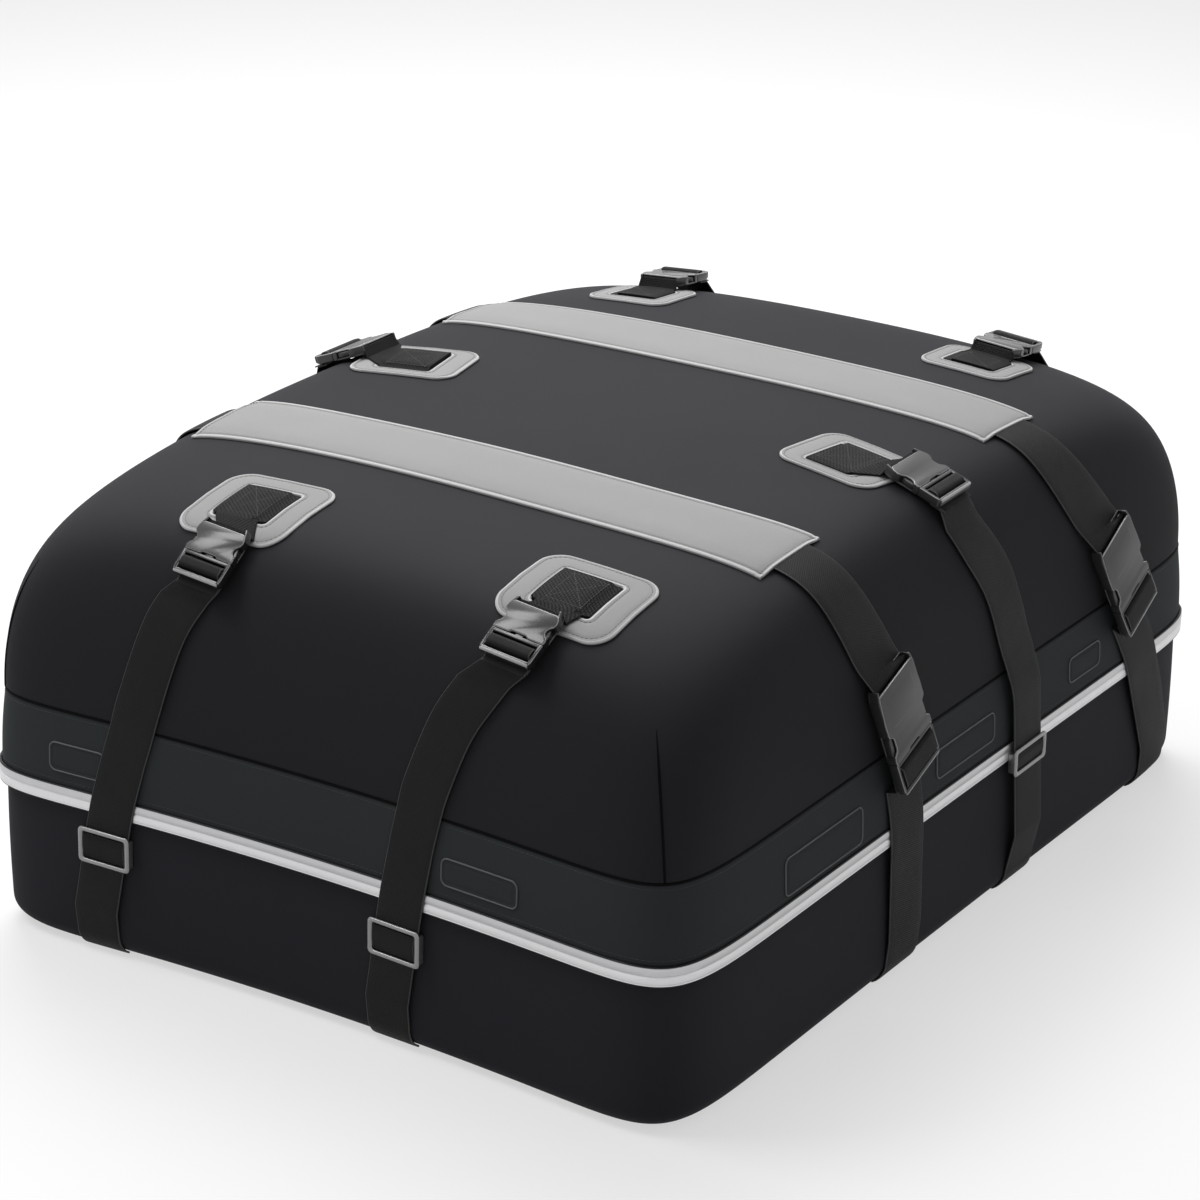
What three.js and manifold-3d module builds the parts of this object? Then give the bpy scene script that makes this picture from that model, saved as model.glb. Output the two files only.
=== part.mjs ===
// Soft roof cargo bag, packed full and closed, standing on its base.
// Millimetres. +Z is up, +X is the bag's right side and -Y its front end.
// The origin is at floor level under the middle of the bag.

import * as THREE from 'three';
import { mergeVertices } from 'three/addons/utils/BufferGeometryUtils.js';
import Module from 'manifold-3d';

const wasm = await Module();
wasm.setup();

// Driving dimensions of the stuffed body
const bodyWidth = 750;
const bodyLength = 992;
const seamHeight = 231;
const lidRise = 203;
const endHollow = 22.5;
const sideHollow = 3.2;
const crownAcross = 12;
const crownAlong = 16;
const shoulderPower = 16;
const wallSquareness = 13.3;
const topSquareness = 2;
const squarenessFade = 12;
const fabricWall = 4.5;
const tubBulge = 1.5;
const baseRadius = 24;

// Clearance between cloth layers, between hard pieces and where a piece slides
const layerGap = 0.8;
const hardGap = 0.4;
const slideGap = 0.3;

// Storm flap, reflective strip and the zip behind them
const flapThickness = 1.8;
const flapBulge = 5;
const stripHeight = 151;
const stripWidth = 19;
const stripThickness = 1;
const zipHeight = 194;
const zipOpening = 18;
const tapeWidth = 30;
const tapeThickness = 1.5;
const teethWidth = 6;
const teethRise = 2.7;
const sliderLength = 16;
const sliderWall = 2.8;
const sliderPlate = 2.1;
const tabLength = 24;
const tabWidth = 7;
const tabThickness = 1.2;

// Webbing, reinforcement bands, patches and the loops in their windows
const webThickness = 2;
const endWeb = 44;
const sideWeb = 50;
const bandWeb = 56;
const bandWidth = 98;
const bandThickness = 1.5;
const bandHem = 11;
const patchThickness = 1.5;
const patchCorner = 22;
const windowCorner = 4;
const loopThickness = 3.7;
const loopMargin = 2;

// Side-release buckles
const endBuckle = { housing: 34, ladder: 23, height: 9.6, prong: 19, seat: 3, flare: 0.1 };
const sideBuckle = { housing: 38, ladder: 24, height: 9.6, prong: 22, seat: 3, flare: 0 };
const longBuckle = { housing: 78, ladder: 34, height: 11, prong: 32, seat: 3, flare: 0.09 };
const buckleRim = 4;
const buckleCorner = 5;
const plateThickness = 2.4;
const floorThickness = 1.8;
const pocketDepth = 9.6;
const slotSlack = 1.6;
const barInset = 2.6;
const barWidth = 3.4;
const barThickness = 2.1;
const barLow = 2.4;
const prongWidth = 5.5;
const tongueWidth = 9;
const prongTaper = 2.5;
const ladderSlot = 3.8;
const ladderFrontBar = 3.6;
const ladderEndBar = 4.6;

// Strap adjusters
const endAdjuster = 35;
const sideAdjuster = 27;
const adjusterBar = 4.6;
const adjusterThickness = 2.6;
const adjusterRail = 4.4;

// How finely the cloth is drawn
const quadrantSteps = 12;
const cornerCrowding = 1.6;
const shoulderSteps = 9;
const lastShoulderAngle = 84;
const patchQuarterSteps = 6;
const clothStep = 14;
const nearWall = 0.9995;
const levelStep = 0.0004;

const halfWidth = bodyWidth / 2;
const halfLength = bodyLength / 2;
const lidShoulder = seamHeight + lidRise / 4;
const bandReach = halfWidth * 0.8133;
const rightAngle = Math.PI / 2;

// Materials
function paint(color, roughness, metalness = 0) {
  return new THREE.MeshStandardMaterial({ color, roughness, metalness });
}
const finishes = {
  tub: () => paint(0x1b1b1e, 0.6),
  lid: () => paint(0x242427, 0.55),
  flap: () => paint(0x26282a, 0.6),
  strip: () => paint(0xb4b6b8, 0.35),
  grey: () => paint(0xa9a9ab, 0.65),
  webbing: () => paint(0x1a1a19, 0.8),
  plastic: () => paint(0x2a2a2c, 0.35),
  zip: () => paint(0x141415, 0.6),
};

// Outline of the body: level is 1 at the wall and falls to 0 at the middle of the lid
function outline(angle, level, grow) {
  const c = Math.cos(angle);
  const s = Math.sin(angle);
  const power = squareness(level);
  const k = (Math.abs(c) ** power + Math.abs(s) ** power) ** (-1 / power);
  const u = c * k;
  const v = s * k;
  const x = level * u * (halfWidth + grow - sideHollow * (1 - v * v));
  const y = level * v * (halfLength + grow - endHollow * (1 - u * u));
  return [x, y];
}

function squareness(level) {
  return topSquareness + (wallSquareness - topSquareness) * level ** squarenessFade;
}

// Height of the lid at a level, lowered by sink for the inner face
function lidHeight(level, x, y, sink = 0) {
  const round = Math.max(0, 1 - level ** shoulderPower) ** 0.5;
  const crown = crownAcross * (x / halfWidth) ** 2 + crownAlong * (y / halfLength) ** 2;
  return seamHeight + round * (lidRise - sink - crown);
}

function bisect(isHigh, low, high) {
  let a = low;
  let b = high;
  for (let i = 0; i < 44; i += 1) {
    const middle = (a + b) / 2;
    if (isHigh(middle)) b = middle;
    else a = middle;
  }
  return (a + b) / 2;
}

// The left and back faces mirror the right and front ones
const faces = {
  right: { mirror: [1, 1, 1], start: -rightAngle, along: 1 },
  left: { mirror: [-1, 1, 1], start: -rightAngle, along: 1 },
  front: { mirror: [1, 1, 1], start: -2 * rightAngle, along: 0 },
  back: { mirror: [1, -1, 1], start: -2 * rightAngle, along: 0 },
};

// Point of the body on a face, at a distance across it; height is left out on the lid
function bodyPoint(face, across, level, grow, height) {
  const { mirror, start, along } = faces[face];
  const isHigh = (angle) => outline(angle, level, grow)[along] > across;
  const angle = bisect(isHigh, start, start + Math.PI);
  const [x, y] = outline(angle, level, grow);
  const z = height ?? lidHeight(level, x, y);
  return new THREE.Vector3(x, y, z).multiply(new THREE.Vector3(...mirror));
}

// Unit normal of the body at a point of a face, pointing out
function bodyNormal(face, across, level, height) {
  const near = Math.min(level, nearWall);
  const side = bodyPoint(face, across + 1, near, 0, height)
    .sub(bodyPoint(face, across - 1, near, 0, height));
  const slope = new THREE.Vector3(0, 0, -1);
  if (height === undefined) {
    slope.copy(bodyPoint(face, across, near + levelStep, 0));
    slope.sub(bodyPoint(face, across, near - levelStep, 0));
  }
  const normal = side.cross(slope).normalize();
  const point = bodyPoint(face, across, near, 0, height);
  const outward = new THREE.Vector3(point.x / halfWidth, point.y / halfLength, 0.4);
  return normal.dot(outward) < 0 ? normal.negate() : normal;
}

function levelAtHeight(face, across, height) {
  return bisect((level) => bodyPoint(face, across, level, 0).z < height, 0.3, 1);
}

function levelAtReach(face, across, reach) {
  const component = 1 - faces[face].along;
  const isFar = (level) => Math.abs(bodyPoint(face, across, level, 0).getComponent(component)) > reach;
  return bisect(isFar, 0.3, 1);
}

// Point raised above the cloth: along the normal on the lid, outward on the wall
function clothPoint(face, across, height, lift) {
  if (height <= seamHeight) return bodyPoint(face, across, 1, lift, height);
  const level = levelAtHeight(face, across, height);
  const normal = bodyNormal(face, across, level);
  return bodyPoint(face, across, level, 0).addScaledVector(normal, lift);
}

// Level of the lid's outline that passes over a place in plan
function planLevel(x, y) {
  const holds = (level) => {
    let u = x / (level * halfWidth);
    let v = y / (level * halfLength);
    for (let i = 0; i < 5; i += 1) {
      const side = sideHollow * (1 - Math.min(1, v * v));
      const end = endHollow * (1 - Math.min(1, u * u));
      u = x / (level * (halfWidth - side));
      v = y / (level * (halfLength - end));
    }
    const power = squareness(level);
    return Math.abs(u) ** power + Math.abs(v) ** power < 1;
  };
  return bisect(holds, 0.02, 1);
}

// Point raised above the top of the lid, by its place in plan
function topPoint(x, y, lift) {
  const heightAt = (px, py) => lidHeight(planLevel(px, py), px, py);
  const slopeX = (heightAt(x + 1, y) - heightAt(x - 1, y)) / 2;
  const slopeY = (heightAt(x, y + 1) - heightAt(x, y - 1)) / 2;
  const normal = new THREE.Vector3(-slopeX, -slopeY, 1).normalize();
  return new THREE.Vector3(x, y, heightAt(x, y)).addScaledVector(normal, lift);
}

// Closed body between two sheets of points; wraps joins the last row to the first
function slab(rows, wraps = false) {
  const count = rows.length;
  const width = rows[0].over.length;
  const positions = [];
  for (const { over, under } of rows) {
    for (const point of [...over, ...under]) positions.push(point.x, point.y, point.z);
  }
  const over = (row, column) => (row % count) * 2 * width + column;
  const under = (row, column) => over(row, column) + width;
  const index = [];
  const quad = (a, b, c, d) => index.push(a, b, c, a, c, d);
  const spans = wraps ? count : count - 1;
  for (let r = 0; r < spans; r += 1) {
    for (let c = 0; c < width - 1; c += 1) {
      quad(over(r, c), over(r + 1, c), over(r + 1, c + 1), over(r, c + 1));
      quad(under(r, c), under(r, c + 1), under(r + 1, c + 1), under(r + 1, c));
    }
    quad(over(r, 0), under(r, 0), under(r + 1, 0), over(r + 1, 0));
    const last = width - 1;
    quad(over(r, last), over(r + 1, last), under(r + 1, last), under(r, last));
  }
  for (let c = 0; c < width - 1 && !wraps; c += 1) {
    const end = count - 1;
    quad(over(0, c), over(0, c + 1), under(0, c + 1), under(0, c));
    quad(over(end, c), under(end, c), under(end, c + 1), over(end, c + 1));
  }
  return closedBody(positions, index);
}

// Merges the points that coincide, drops empty faces and turns the faces outward
function closedBody(positions, index) {
  const raw = new THREE.BufferGeometry();
  raw.setAttribute('position', new THREE.Float32BufferAttribute(positions, 3));
  raw.setIndex(index);
  const geometry = mergeVertices(raw, 1e-3);
  const kept = [];
  const old = geometry.index.array;
  for (let i = 0; i < old.length; i += 3) {
    const [a, b, c] = [old[i], old[i + 1], old[i + 2]];
    if (a !== b && b !== c && c !== a) kept.push(a, b, c);
  }
  const corner = (i) => new THREE.Vector3().fromBufferAttribute(geometry.attributes.position, i);
  let volume = 0;
  for (let i = 0; i < kept.length; i += 3) {
    volume += corner(kept[i]).dot(corner(kept[i + 1]).cross(corner(kept[i + 2])));
  }
  if (volume < 0) kept.reverse();
  geometry.setIndex(kept);
  return geometry;
}

// Boolean solids
function toSolid(geometry) {
  const bare = geometry.clone();
  bare.deleteAttribute('normal');
  bare.deleteAttribute('uv');
  const merged = mergeVertices(bare, 1e-4);
  const vertProperties = new Float32Array(merged.attributes.position.array);
  const triVerts = new Uint32Array(merged.index.array);
  return new wasm.Manifold(new wasm.Mesh({ numProp: 3, vertProperties, triVerts }));
}

function fromSolid(solid) {
  const { vertProperties, triVerts } = solid.getMesh();
  const geometry = new THREE.BufferGeometry();
  geometry.setAttribute('position', new THREE.BufferAttribute(vertProperties, 3));
  geometry.setIndex(new THREE.BufferAttribute(triVerts, 1));
  return geometry;
}

// Box from its low and high corners
function block(low, high) {
  const size = high.map((value, i) => value - low[i]);
  const middle = high.map((value, i) => (value + low[i]) / 2);
  return toSolid(new THREE.BoxGeometry(...size).translate(...middle));
}

const bag = new THREE.Group();

function addPiece(name, geometry, material, matrix) {
  const mesh = new THREE.Mesh(geometry, material());
  mesh.name = name;
  if (matrix) mesh.applyMatrix4(matrix);
  bag.add(mesh);
}

// Angles round the outline, crowded towards the four corners
function outlineAngles() {
  const angles = [];
  for (let quadrant = 0; quadrant < 4; quadrant += 1) {
    for (let i = 0; i < quadrantSteps; i += 1) {
      const along = (2 * i) / quadrantSteps - 1;
      const pull = Math.sign(along) * Math.abs(along) ** cornerCrowding;
      angles.push((quadrant + (1 + pull) / 2) * rightAngle);
    }
  }
  return angles;
}

// Ring all round the wall from a profile of [height, outer grow, inner grow]
function wallRing(profile) {
  const rows = outlineAngles().map((angle) => {
    const at = (grow, height) => new THREE.Vector3(...outline(angle, 1, grow), height);
    return {
      over: profile.map(([height, outer]) => at(outer, height)),
      under: profile.map(([height, , inner]) => at(inner, height)),
    };
  });
  return slab(rows, true);
}

// Outer face of the flap: it leans out from the seam down to the strip
function flapGrow(height) {
  const fall = (seamHeight - height) / (seamHeight - stripHeight);
  return flapBulge * Math.min(1, fall);
}

function behindFlap(height) {
  return flapGrow(height) - flapThickness - hardGap;
}

const stripBottom = stripHeight - stripWidth / 2;
const stripTop = stripHeight + stripWidth / 2;
const tubRim = zipHeight - zipOpening / 2;
const lidRim = zipHeight + zipOpening / 2;
const sliderReach = teethWidth / 2 + slideGap * 2;
const sliderTop = zipHeight + sliderReach + sliderWall;
const sliderStack = teethRise + slideGap * 3 + sliderPlate + tabThickness;
const tapeFace = behindFlap(sliderTop) - sliderStack;
const rimInner = tapeFace + hardGap;
const stripFace = flapBulge + slideGap + stripThickness;

// Upright wall, rounded lower edge and flat base of the tub
function makeTub() {
  const edgeCentre = tubBulge - baseRadius;
  const innerRadius = baseRadius - fabricWall;
  const edge = [30, 60, 90].map((degrees) => {
    const turn = THREE.MathUtils.degToRad(degrees);
    return {
      outer: [edgeCentre + baseRadius * Math.cos(turn), baseRadius * (1 - Math.sin(turn))],
      inner: [edgeCentre + innerRadius * Math.cos(turn), baseRadius - innerRadius * Math.sin(turn)],
    };
  });
  const inner = tubBulge - fabricWall;
  const wall = [
    [tubRim, behindFlap(tubRim), rimInner],
    [stripTop, behindFlap(stripTop), rimInner],
    [stripBottom, behindFlap(stripBottom), inner],
    [stripBottom - clothStep / 3, tubBulge, inner],
    [baseRadius * 2.5, tubBulge, inner],
    [baseRadius, tubBulge, inner],
  ];
  const profile = wall.map(([height, out, into]) => ({ outer: [out, height], inner: [into, height] }));
  profile.push(...edge);
  const rows = outlineAngles().map((angle) => {
    const at = ([grow, height]) => new THREE.Vector3(...outline(angle, 1, grow), height);
    const over = profile.map(({ outer }) => at(outer));
    const under = profile.map((column) => at(column.inner));
    over.push(new THREE.Vector3(0, 0, 0));
    under.push(new THREE.Vector3(0, 0, fabricWall));
    return { over, under };
  });
  addPiece('tub', slab(rows, true), finishes.tub);
}

// Levels of the lid: even steps round the shoulder, then across the top
function lidLevels() {
  const levels = [];
  for (let i = 0; i <= shoulderSteps; i += 1) {
    const turn = THREE.MathUtils.degToRad((lastShoulderAngle * i) / shoulderSteps);
    levels.push(Math.cos(turn) ** (2 / shoulderPower));
  }
  const inner = levels[shoulderSteps];
  return [...levels, (inner * 2) / 3, inner / 3, 0];
}

// Domed lid: its rim steps in behind the flap, which is sewn on under the seam ledge
function makeLid() {
  const ledge = seamHeight - layerGap / 2;
  const rows = outlineAngles().map((angle) => {
    const wall = (grow, height) => new THREE.Vector3(...outline(angle, 1, grow), height);
    const dome = (level, inset) => {
      const [x, y] = outline(angle, level, -inset);
      return new THREE.Vector3(x, y, lidHeight(level, x, y, inset));
    };
    const over = [wall(behindFlap(lidRim), lidRim), wall(behindFlap(seamHeight), ledge)];
    const under = [wall(rimInner, lidRim), wall(rimInner, ledge)];
    for (const level of lidLevels()) {
      over.push(dome(level, 0));
      under.push(dome(level, fabricWall));
    }
    return { over, under };
  });
  addPiece('lid', slab(rows, true), finishes.lid);
}

function makeFlap() {
  const top = seamHeight - layerGap;
  const profile = [stripBottom, stripTop, top].map((height) => {
    const outer = flapGrow(height);
    return [height, outer, outer - flapThickness];
  });
  addPiece('storm_flap', wallRing(profile), finishes.flap);
}

function makeStrip() {
  const profile = [stripBottom, stripTop].map((height) => {
    const inner = flapGrow(height) + slideGap;
    return [height, inner + stripThickness, inner];
  });
  addPiece('reflective_strip', wallRing(profile), finishes.strip);
}

// Tape behind both rims with the closed row of teeth standing out of it
function makeZip() {
  const inner = tapeFace - tapeThickness;
  const teeth = tapeFace + teethRise;
  const low = zipHeight - teethWidth / 2;
  const high = zipHeight + teethWidth / 2;
  const profile = [
    [zipHeight - tapeWidth / 2, tapeFace, inner],
    [low - slideGap, tapeFace, inner],
    [low, teeth, inner],
    [high, teeth, inner],
    [high + slideGap, tapeFace, inner],
    [zipHeight + tapeWidth / 2, tapeFace, inner],
  ];
  addPiece('zip_chain', wallRing(profile), finishes.zip);
}

// Slider riding over the teeth, with its pull tab lying flat along the chain
function makeSlider(name, direction) {
  const teeth = -sideHollow + tapeFace + teethRise + slideGap;
  const foot = teeth - teethRise + slideGap;
  const plate = teeth + slideGap + sliderPlate;
  const half = sliderLength / 2;
  const body = block([-half, -sliderReach - sliderWall, foot], [half, sliderReach + sliderWall, plate])
    .subtract(block([-half - 1, -sliderReach, foot - 1], [half + 1, sliderReach, teeth + slideGap]));
  const tabLow = plate + slideGap;
  const tabHigh = tabLow + tabThickness;
  const tab = block([0, -tabWidth / 2, tabLow], [tabLength, tabWidth / 2, tabHigh]);
  const post = block([0, -tabWidth / 4, plate - 1], [tabWidth / 2, tabWidth / 4, tabHigh]);
  const solid = body.add(post).add(tab);
  const matrix = new THREE.Matrix4().makeBasis(
    new THREE.Vector3(0, direction, 0),
    new THREE.Vector3(0, 0, -direction),
    new THREE.Vector3(-1, 0, 0),
  );
  const middle = direction * (half + slideGap);
  matrix.premultiply(new THREE.Matrix4().makeTranslation(0, middle, zipHeight));
  const outward = new THREE.Matrix4().makeTranslation(-halfWidth, 0, 0);
  addPiece(name, fromSolid(solid), finishes.zip, matrix.premultiply(outward));
}

// Rows across the top of the lid, closer together where it starts to fall
function bandStations() {
  const right = [0, 0.23, 0.46, 0.65, 0.78, 0.86, 0.92, 0.96, 1].map((share) => share * bandReach);
  return [...right.slice(1).reverse().map((x) => -x), ...right];
}

// Row of three columns on the top of the lid, for webbing that runs along X
function topRow(x, y, half, lift, thickness) {
  const columns = [-half, 0, half];
  return {
    under: columns.map((shift) => topPoint(x, y + shift, lift)),
    over: columns.map((shift) => topPoint(x, y + shift, lift + thickness)),
  };
}

// Row of three columns on a face of the bag
function faceRow(face, across, height, half, lift, thickness) {
  const columns = [-half, 0, half];
  const at = (shift, rise) => clothPoint(face, across + shift, height, rise);
  return {
    under: columns.map((shift) => at(shift, lift)),
    over: columns.map((shift) => at(shift, lift + thickness)),
  };
}

// Grey band over the webbing, hemmed down to the lid along both edges
function makeBand(name, y) {
  const half = bandWidth / 2;
  const crest = layerGap + webThickness + hardGap;
  const columns = [
    [-half, layerGap],
    [bandHem - half, crest],
    [0, crest],
    [half - bandHem, crest],
    [half, layerGap],
  ];
  const rows = bandStations().map((x) => ({
    under: columns.map(([shift, lift]) => topPoint(x, y + shift, lift)),
    over: columns.map(([shift, lift]) => topPoint(x, y + shift, lift + bandThickness)),
  }));
  addPiece(name, slab(rows), finishes.grey);
}

// Rounded rectangle as points, the same number at every size
function roundedRectangle(width, length, radius) {
  const points = [];
  for (let quarter = 0; quarter < 4; quarter += 1) {
    const sx = quarter === 0 || quarter === 3 ? 1 : -1;
    const sy = quarter < 2 ? 1 : -1;
    for (let i = 0; i < patchQuarterSteps; i += 1) {
      const turn = (quarter + i / (patchQuarterSteps - 1)) * rightAngle;
      const x = sx * (width / 2 - radius) + radius * Math.cos(turn);
      const y = sy * (length / 2 - radius) + radius * Math.sin(turn);
      points.push(new THREE.Vector2(x, y));
    }
  }
  return points;
}

// Ring patch laid on the lid, with its window in the middle
function makePatch(name, patch) {
  const inner = roundedRectangle(...patch.window, windowCorner);
  const outer = roundedRectangle(...patch.size, patchCorner * patch.scale);
  const turn = THREE.MathUtils.degToRad(patch.turn);
  const rows = inner.map((start, i) => {
    const ring = [0, 0.4, 0.72, 1].map((share) => {
      const point = start.clone().lerp(outer[i], share).rotateAround(new THREE.Vector2(), turn);
      return point.add(new THREE.Vector2(...patch.centre));
    });
    return {
      under: ring.map((point) => topPoint(point.x, point.y, layerGap)),
      over: ring.map((point) => topPoint(point.x, point.y, layerGap + patchThickness)),
    };
  });
  addPiece(name, slab(rows, true), finishes.grey);
}

// Local frame of a buckle or an adjuster: X across, Y along the strap, Z off the cloth
function strapFrame(origin, along, normal) {
  const z = normal.clone().addScaledVector(along, -normal.dot(along)).normalize();
  const x = along.clone().cross(z);
  return new THREE.Matrix4().makeBasis(x, along, z).setPosition(origin);
}

// Frame of a buckle at its housing's rear edge. The buckle lies flat on the cloth under
// its middle, which is a distance across and a reach out or a height.
function buckleFrame({ face, middle, slant, buckle }) {
  const level = middle.reach
    ? levelAtReach(face, middle.across, middle.reach)
    : levelAtHeight(face, middle.across, middle.height);
  const normal = bodyNormal(face, middle.across, level);
  const point = bodyPoint(face, middle.across, level, 0);
  const sideways = new THREE.Vector3().setComponent(faces[face].along, 1);
  const down = sideways.clone().cross(normal).normalize();
  if (down.z > 0) down.negate();
  const along = down.addScaledVector(sideways, slant).normalize();
  const length = buckle.housing + hardGap + buckle.ladder;
  const origin = point.addScaledVector(normal, buckle.seat + layerGap);
  origin.addScaledVector(along, -length / 2);
  along.addScaledVector(normal, buckle.flare).normalize();
  return strapFrame(origin, along, normal);
}

// Rows of webbing wrapped round the housing's rear bar, in the buckle's frame
function wrapRows(frame, web) {
  const barEnd = barInset + barWidth;
  const barHigh = barLow + barThickness;
  const gap = slideGap;
  const outer = gap + webThickness - 0.1;
  const path = [
    [[barInset - 0.8, barHigh + gap], [barInset - 1.6, barHigh + outer]],
    [[barEnd - 0.2, barHigh + gap], [barEnd + 0.4, barHigh + outer]],
    [[barEnd + gap, barHigh - 0.2], [barEnd + outer, barHigh + 0.2]],
    [[barEnd + gap, barLow + 0.2], [barEnd + outer, barLow - 0.2]],
    [[barEnd - 0.2, barLow - gap], [barEnd + 0.4, barLow - outer]],
    [[barInset - 0.8, barLow - gap], [barInset - 1.6, barLow - outer]],
  ];
  const columns = [-web / 2, 0, web / 2];
  const at = (x, [y, z]) => new THREE.Vector3(x, y, z).applyMatrix4(frame);
  return path.map(([under, over]) => ({
    under: columns.map((x) => at(x, under)),
    over: columns.map((x) => at(x, over)),
  }));
}

// Turns a row round where the wrap's columns run the other way across the face
function matchColumns(row, next) {
  const straight = row.over[0].distanceTo(next.over[0]);
  const crossed = row.over[0].distanceTo(next.over[2]);
  if (straight <= crossed) return row;
  return { under: [...row.under].reverse(), over: [...row.over].reverse() };
}

// Webbing loop sewn in a patch's window and wrapped round the housing's bar
function makeLoop(name, strap) {
  const { patch, face, frame, web } = strap;
  const outward = { left: Math.PI, right: 0, front: -rightAngle, back: rightAngle }[face];
  const turn = outward + THREE.MathUtils.degToRad(patch.turn);
  const side = faces[face].along === 1 ? 0 : 1;
  const windowHalf = patch.window[side] / 2 - loopMargin;
  const columns = [-web / 2, 0, web / 2];
  // Row on the lid at a distance out from a middle, square to a direction
  const planRow = (middle, angle, out, lift, thickness) => {
    const at = (shift, rise) => {
      const offset = new THREE.Vector2(out, -shift).rotateAround(new THREE.Vector2(), angle);
      return topPoint(middle.x + offset.x, middle.y + offset.y, rise);
    };
    return {
      under: columns.map((shift) => at(shift, lift)),
      over: columns.map((shift) => at(shift, lift + thickness)),
    };
  };
  const centre = new THREE.Vector2(...patch.centre);
  const rows = [-1, -0.33, 0.33, 1].map((share) => (
    planRow(centre, turn, share * windowHalf, layerGap, loopThickness)
  ));
  const overBorder = layerGap * 2 + patchThickness;
  rows.push(planRow(centre, turn, windowHalf + loopMargin * 0.8, overBorder, webThickness));
  const rear = new THREE.Vector3().setFromMatrixPosition(frame);
  const heading = new THREE.Vector3(0, 1, 0).transformDirection(frame);
  const rearAngle = Math.atan2(heading.y, heading.x);
  const rearPlan = new THREE.Vector2(rear.x, rear.y);
  const edge = rearPlan.distanceTo(centre) - windowHalf - loopMargin;
  if (edge > pocketDepth * 2) {
    rows.push(planRow(rearPlan, rearAngle, -edge / 2, overBorder, webThickness));
  }
  const lead = Math.min(edge - loopMargin, pocketDepth / 2);
  rows.push(planRow(rearPlan, rearAngle, -lead, overBorder, webThickness));
  const wrap = wrapRows(frame, web);
  rows.push(...wrap.map((row) => matchColumns(row, rows[rows.length - 1])));
  addPiece(name, slab(rows), finishes.webbing);
}

// Webbing under a grey band: from one side's buckle over the lid to the other's
function makeBandWebbing(name, y, right, left) {
  const shoulder = (strap) => {
    const rear = new THREE.Vector3().setFromMatrixPosition(strap.frame);
    const topEdge = topPoint(bandReach, y, 0).z;
    const lead = rear.z + pocketDepth / 2;
    const heights = [0.06, 0.15, 0.25, 0.37, 0.51, 0.67, 0.84, 1];
    let previous = clothPoint(strap.face, y, topEdge, 0);
    let lastAcross = y;
    const rows = heights.map((share) => {
      const height = THREE.MathUtils.lerp(topEdge, lead, share);
      const across = THREE.MathUtils.lerp(y, rear.y - strap.slant * pocketDepth / 2, share ** 1.3);
      const point = clothPoint(strap.face, across, height, 0);
      const slant = (across - lastAcross) / point.distanceTo(previous);
      previous = point;
      lastAcross = across;
      const half = bandWeb / 2 / Math.sqrt(1 - slant * slant);
      return faceRow(strap.face, across, height, half, layerGap, webThickness);
    });
    const wrap = wrapRows(strap.frame, strap.web);
    rows.push(...wrap.map((row) => matchColumns(row, rows[rows.length - 1])));
    return rows;
  };
  const top = bandStations().map((x) => topRow(x, y, bandWeb / 2, layerGap, webThickness));
  const rows = [...shoulder(left).reverse(), ...top, ...shoulder(right)];
  addPiece(name, slab(rows), finishes.webbing);
}

// Lower strap: down the wall over flap and strip, then tucked under the rounded base edge
function makeStrap(name, strap) {
  const knots = [];
  strap.route.forEach(([height, across, lift], i) => {
    const last = strap.route[i - 1];
    if (last && last[0] > seamHeight) {
      const run = clothPoint(strap.face, last[1], last[0], 0)
        .distanceTo(clothPoint(strap.face, across, height, 0));
      const parts = Math.ceil(run / clothStep / (height > lidShoulder ? 1 : 2));
      for (let k = 1; k < parts; k += 1) {
        knots.push([0, 1, 2].map((j) => THREE.MathUtils.lerp(last[j], strap.route[i][j], k / parts)));
      }
    }
    knots.push([height, across, lift]);
  });
  const rows = knots.map(([height, across, lift], i) => {
    const before = knots[Math.max(0, i - 1)];
    const after = knots[Math.min(knots.length - 1, i + 1)];
    const from = clothPoint(strap.face, before[1], before[0], 0);
    const to = clothPoint(strap.face, after[1], after[0], 0);
    const slant = (after[1] - before[1]) / from.distanceTo(to);
    const half = strap.web / 2 / Math.sqrt(1 - slant * slant);
    return faceRow(strap.face, across, height, half, lift, webThickness);
  });
  const [, foot] = strap.route[strap.route.length - 1];
  const inner = baseRadius + layerGap;
  const outer = inner + webThickness;
  const lastTurn = Math.asin((baseRadius - slideGap) / outer);
  const centre = tubBulge - baseRadius;
  for (let i = 0; i <= 3; i += 1) {
    const turn = (i / 3) * lastTurn;
    const at = (radius) => [foot, baseRadius - radius * Math.sin(turn), centre + radius * Math.cos(turn)];
    const columns = [-strap.web / 2, 0, strap.web / 2];
    const point = ([across, height, grow], shift) => clothPoint(strap.face, across + shift, height, grow);
    rows.push({
      under: columns.map((shift) => point(at(inner), shift)),
      over: columns.map((shift) => point(at(outer), shift)),
    });
  }
  addPiece(name, slab(rows), finishes.webbing);
}

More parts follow.
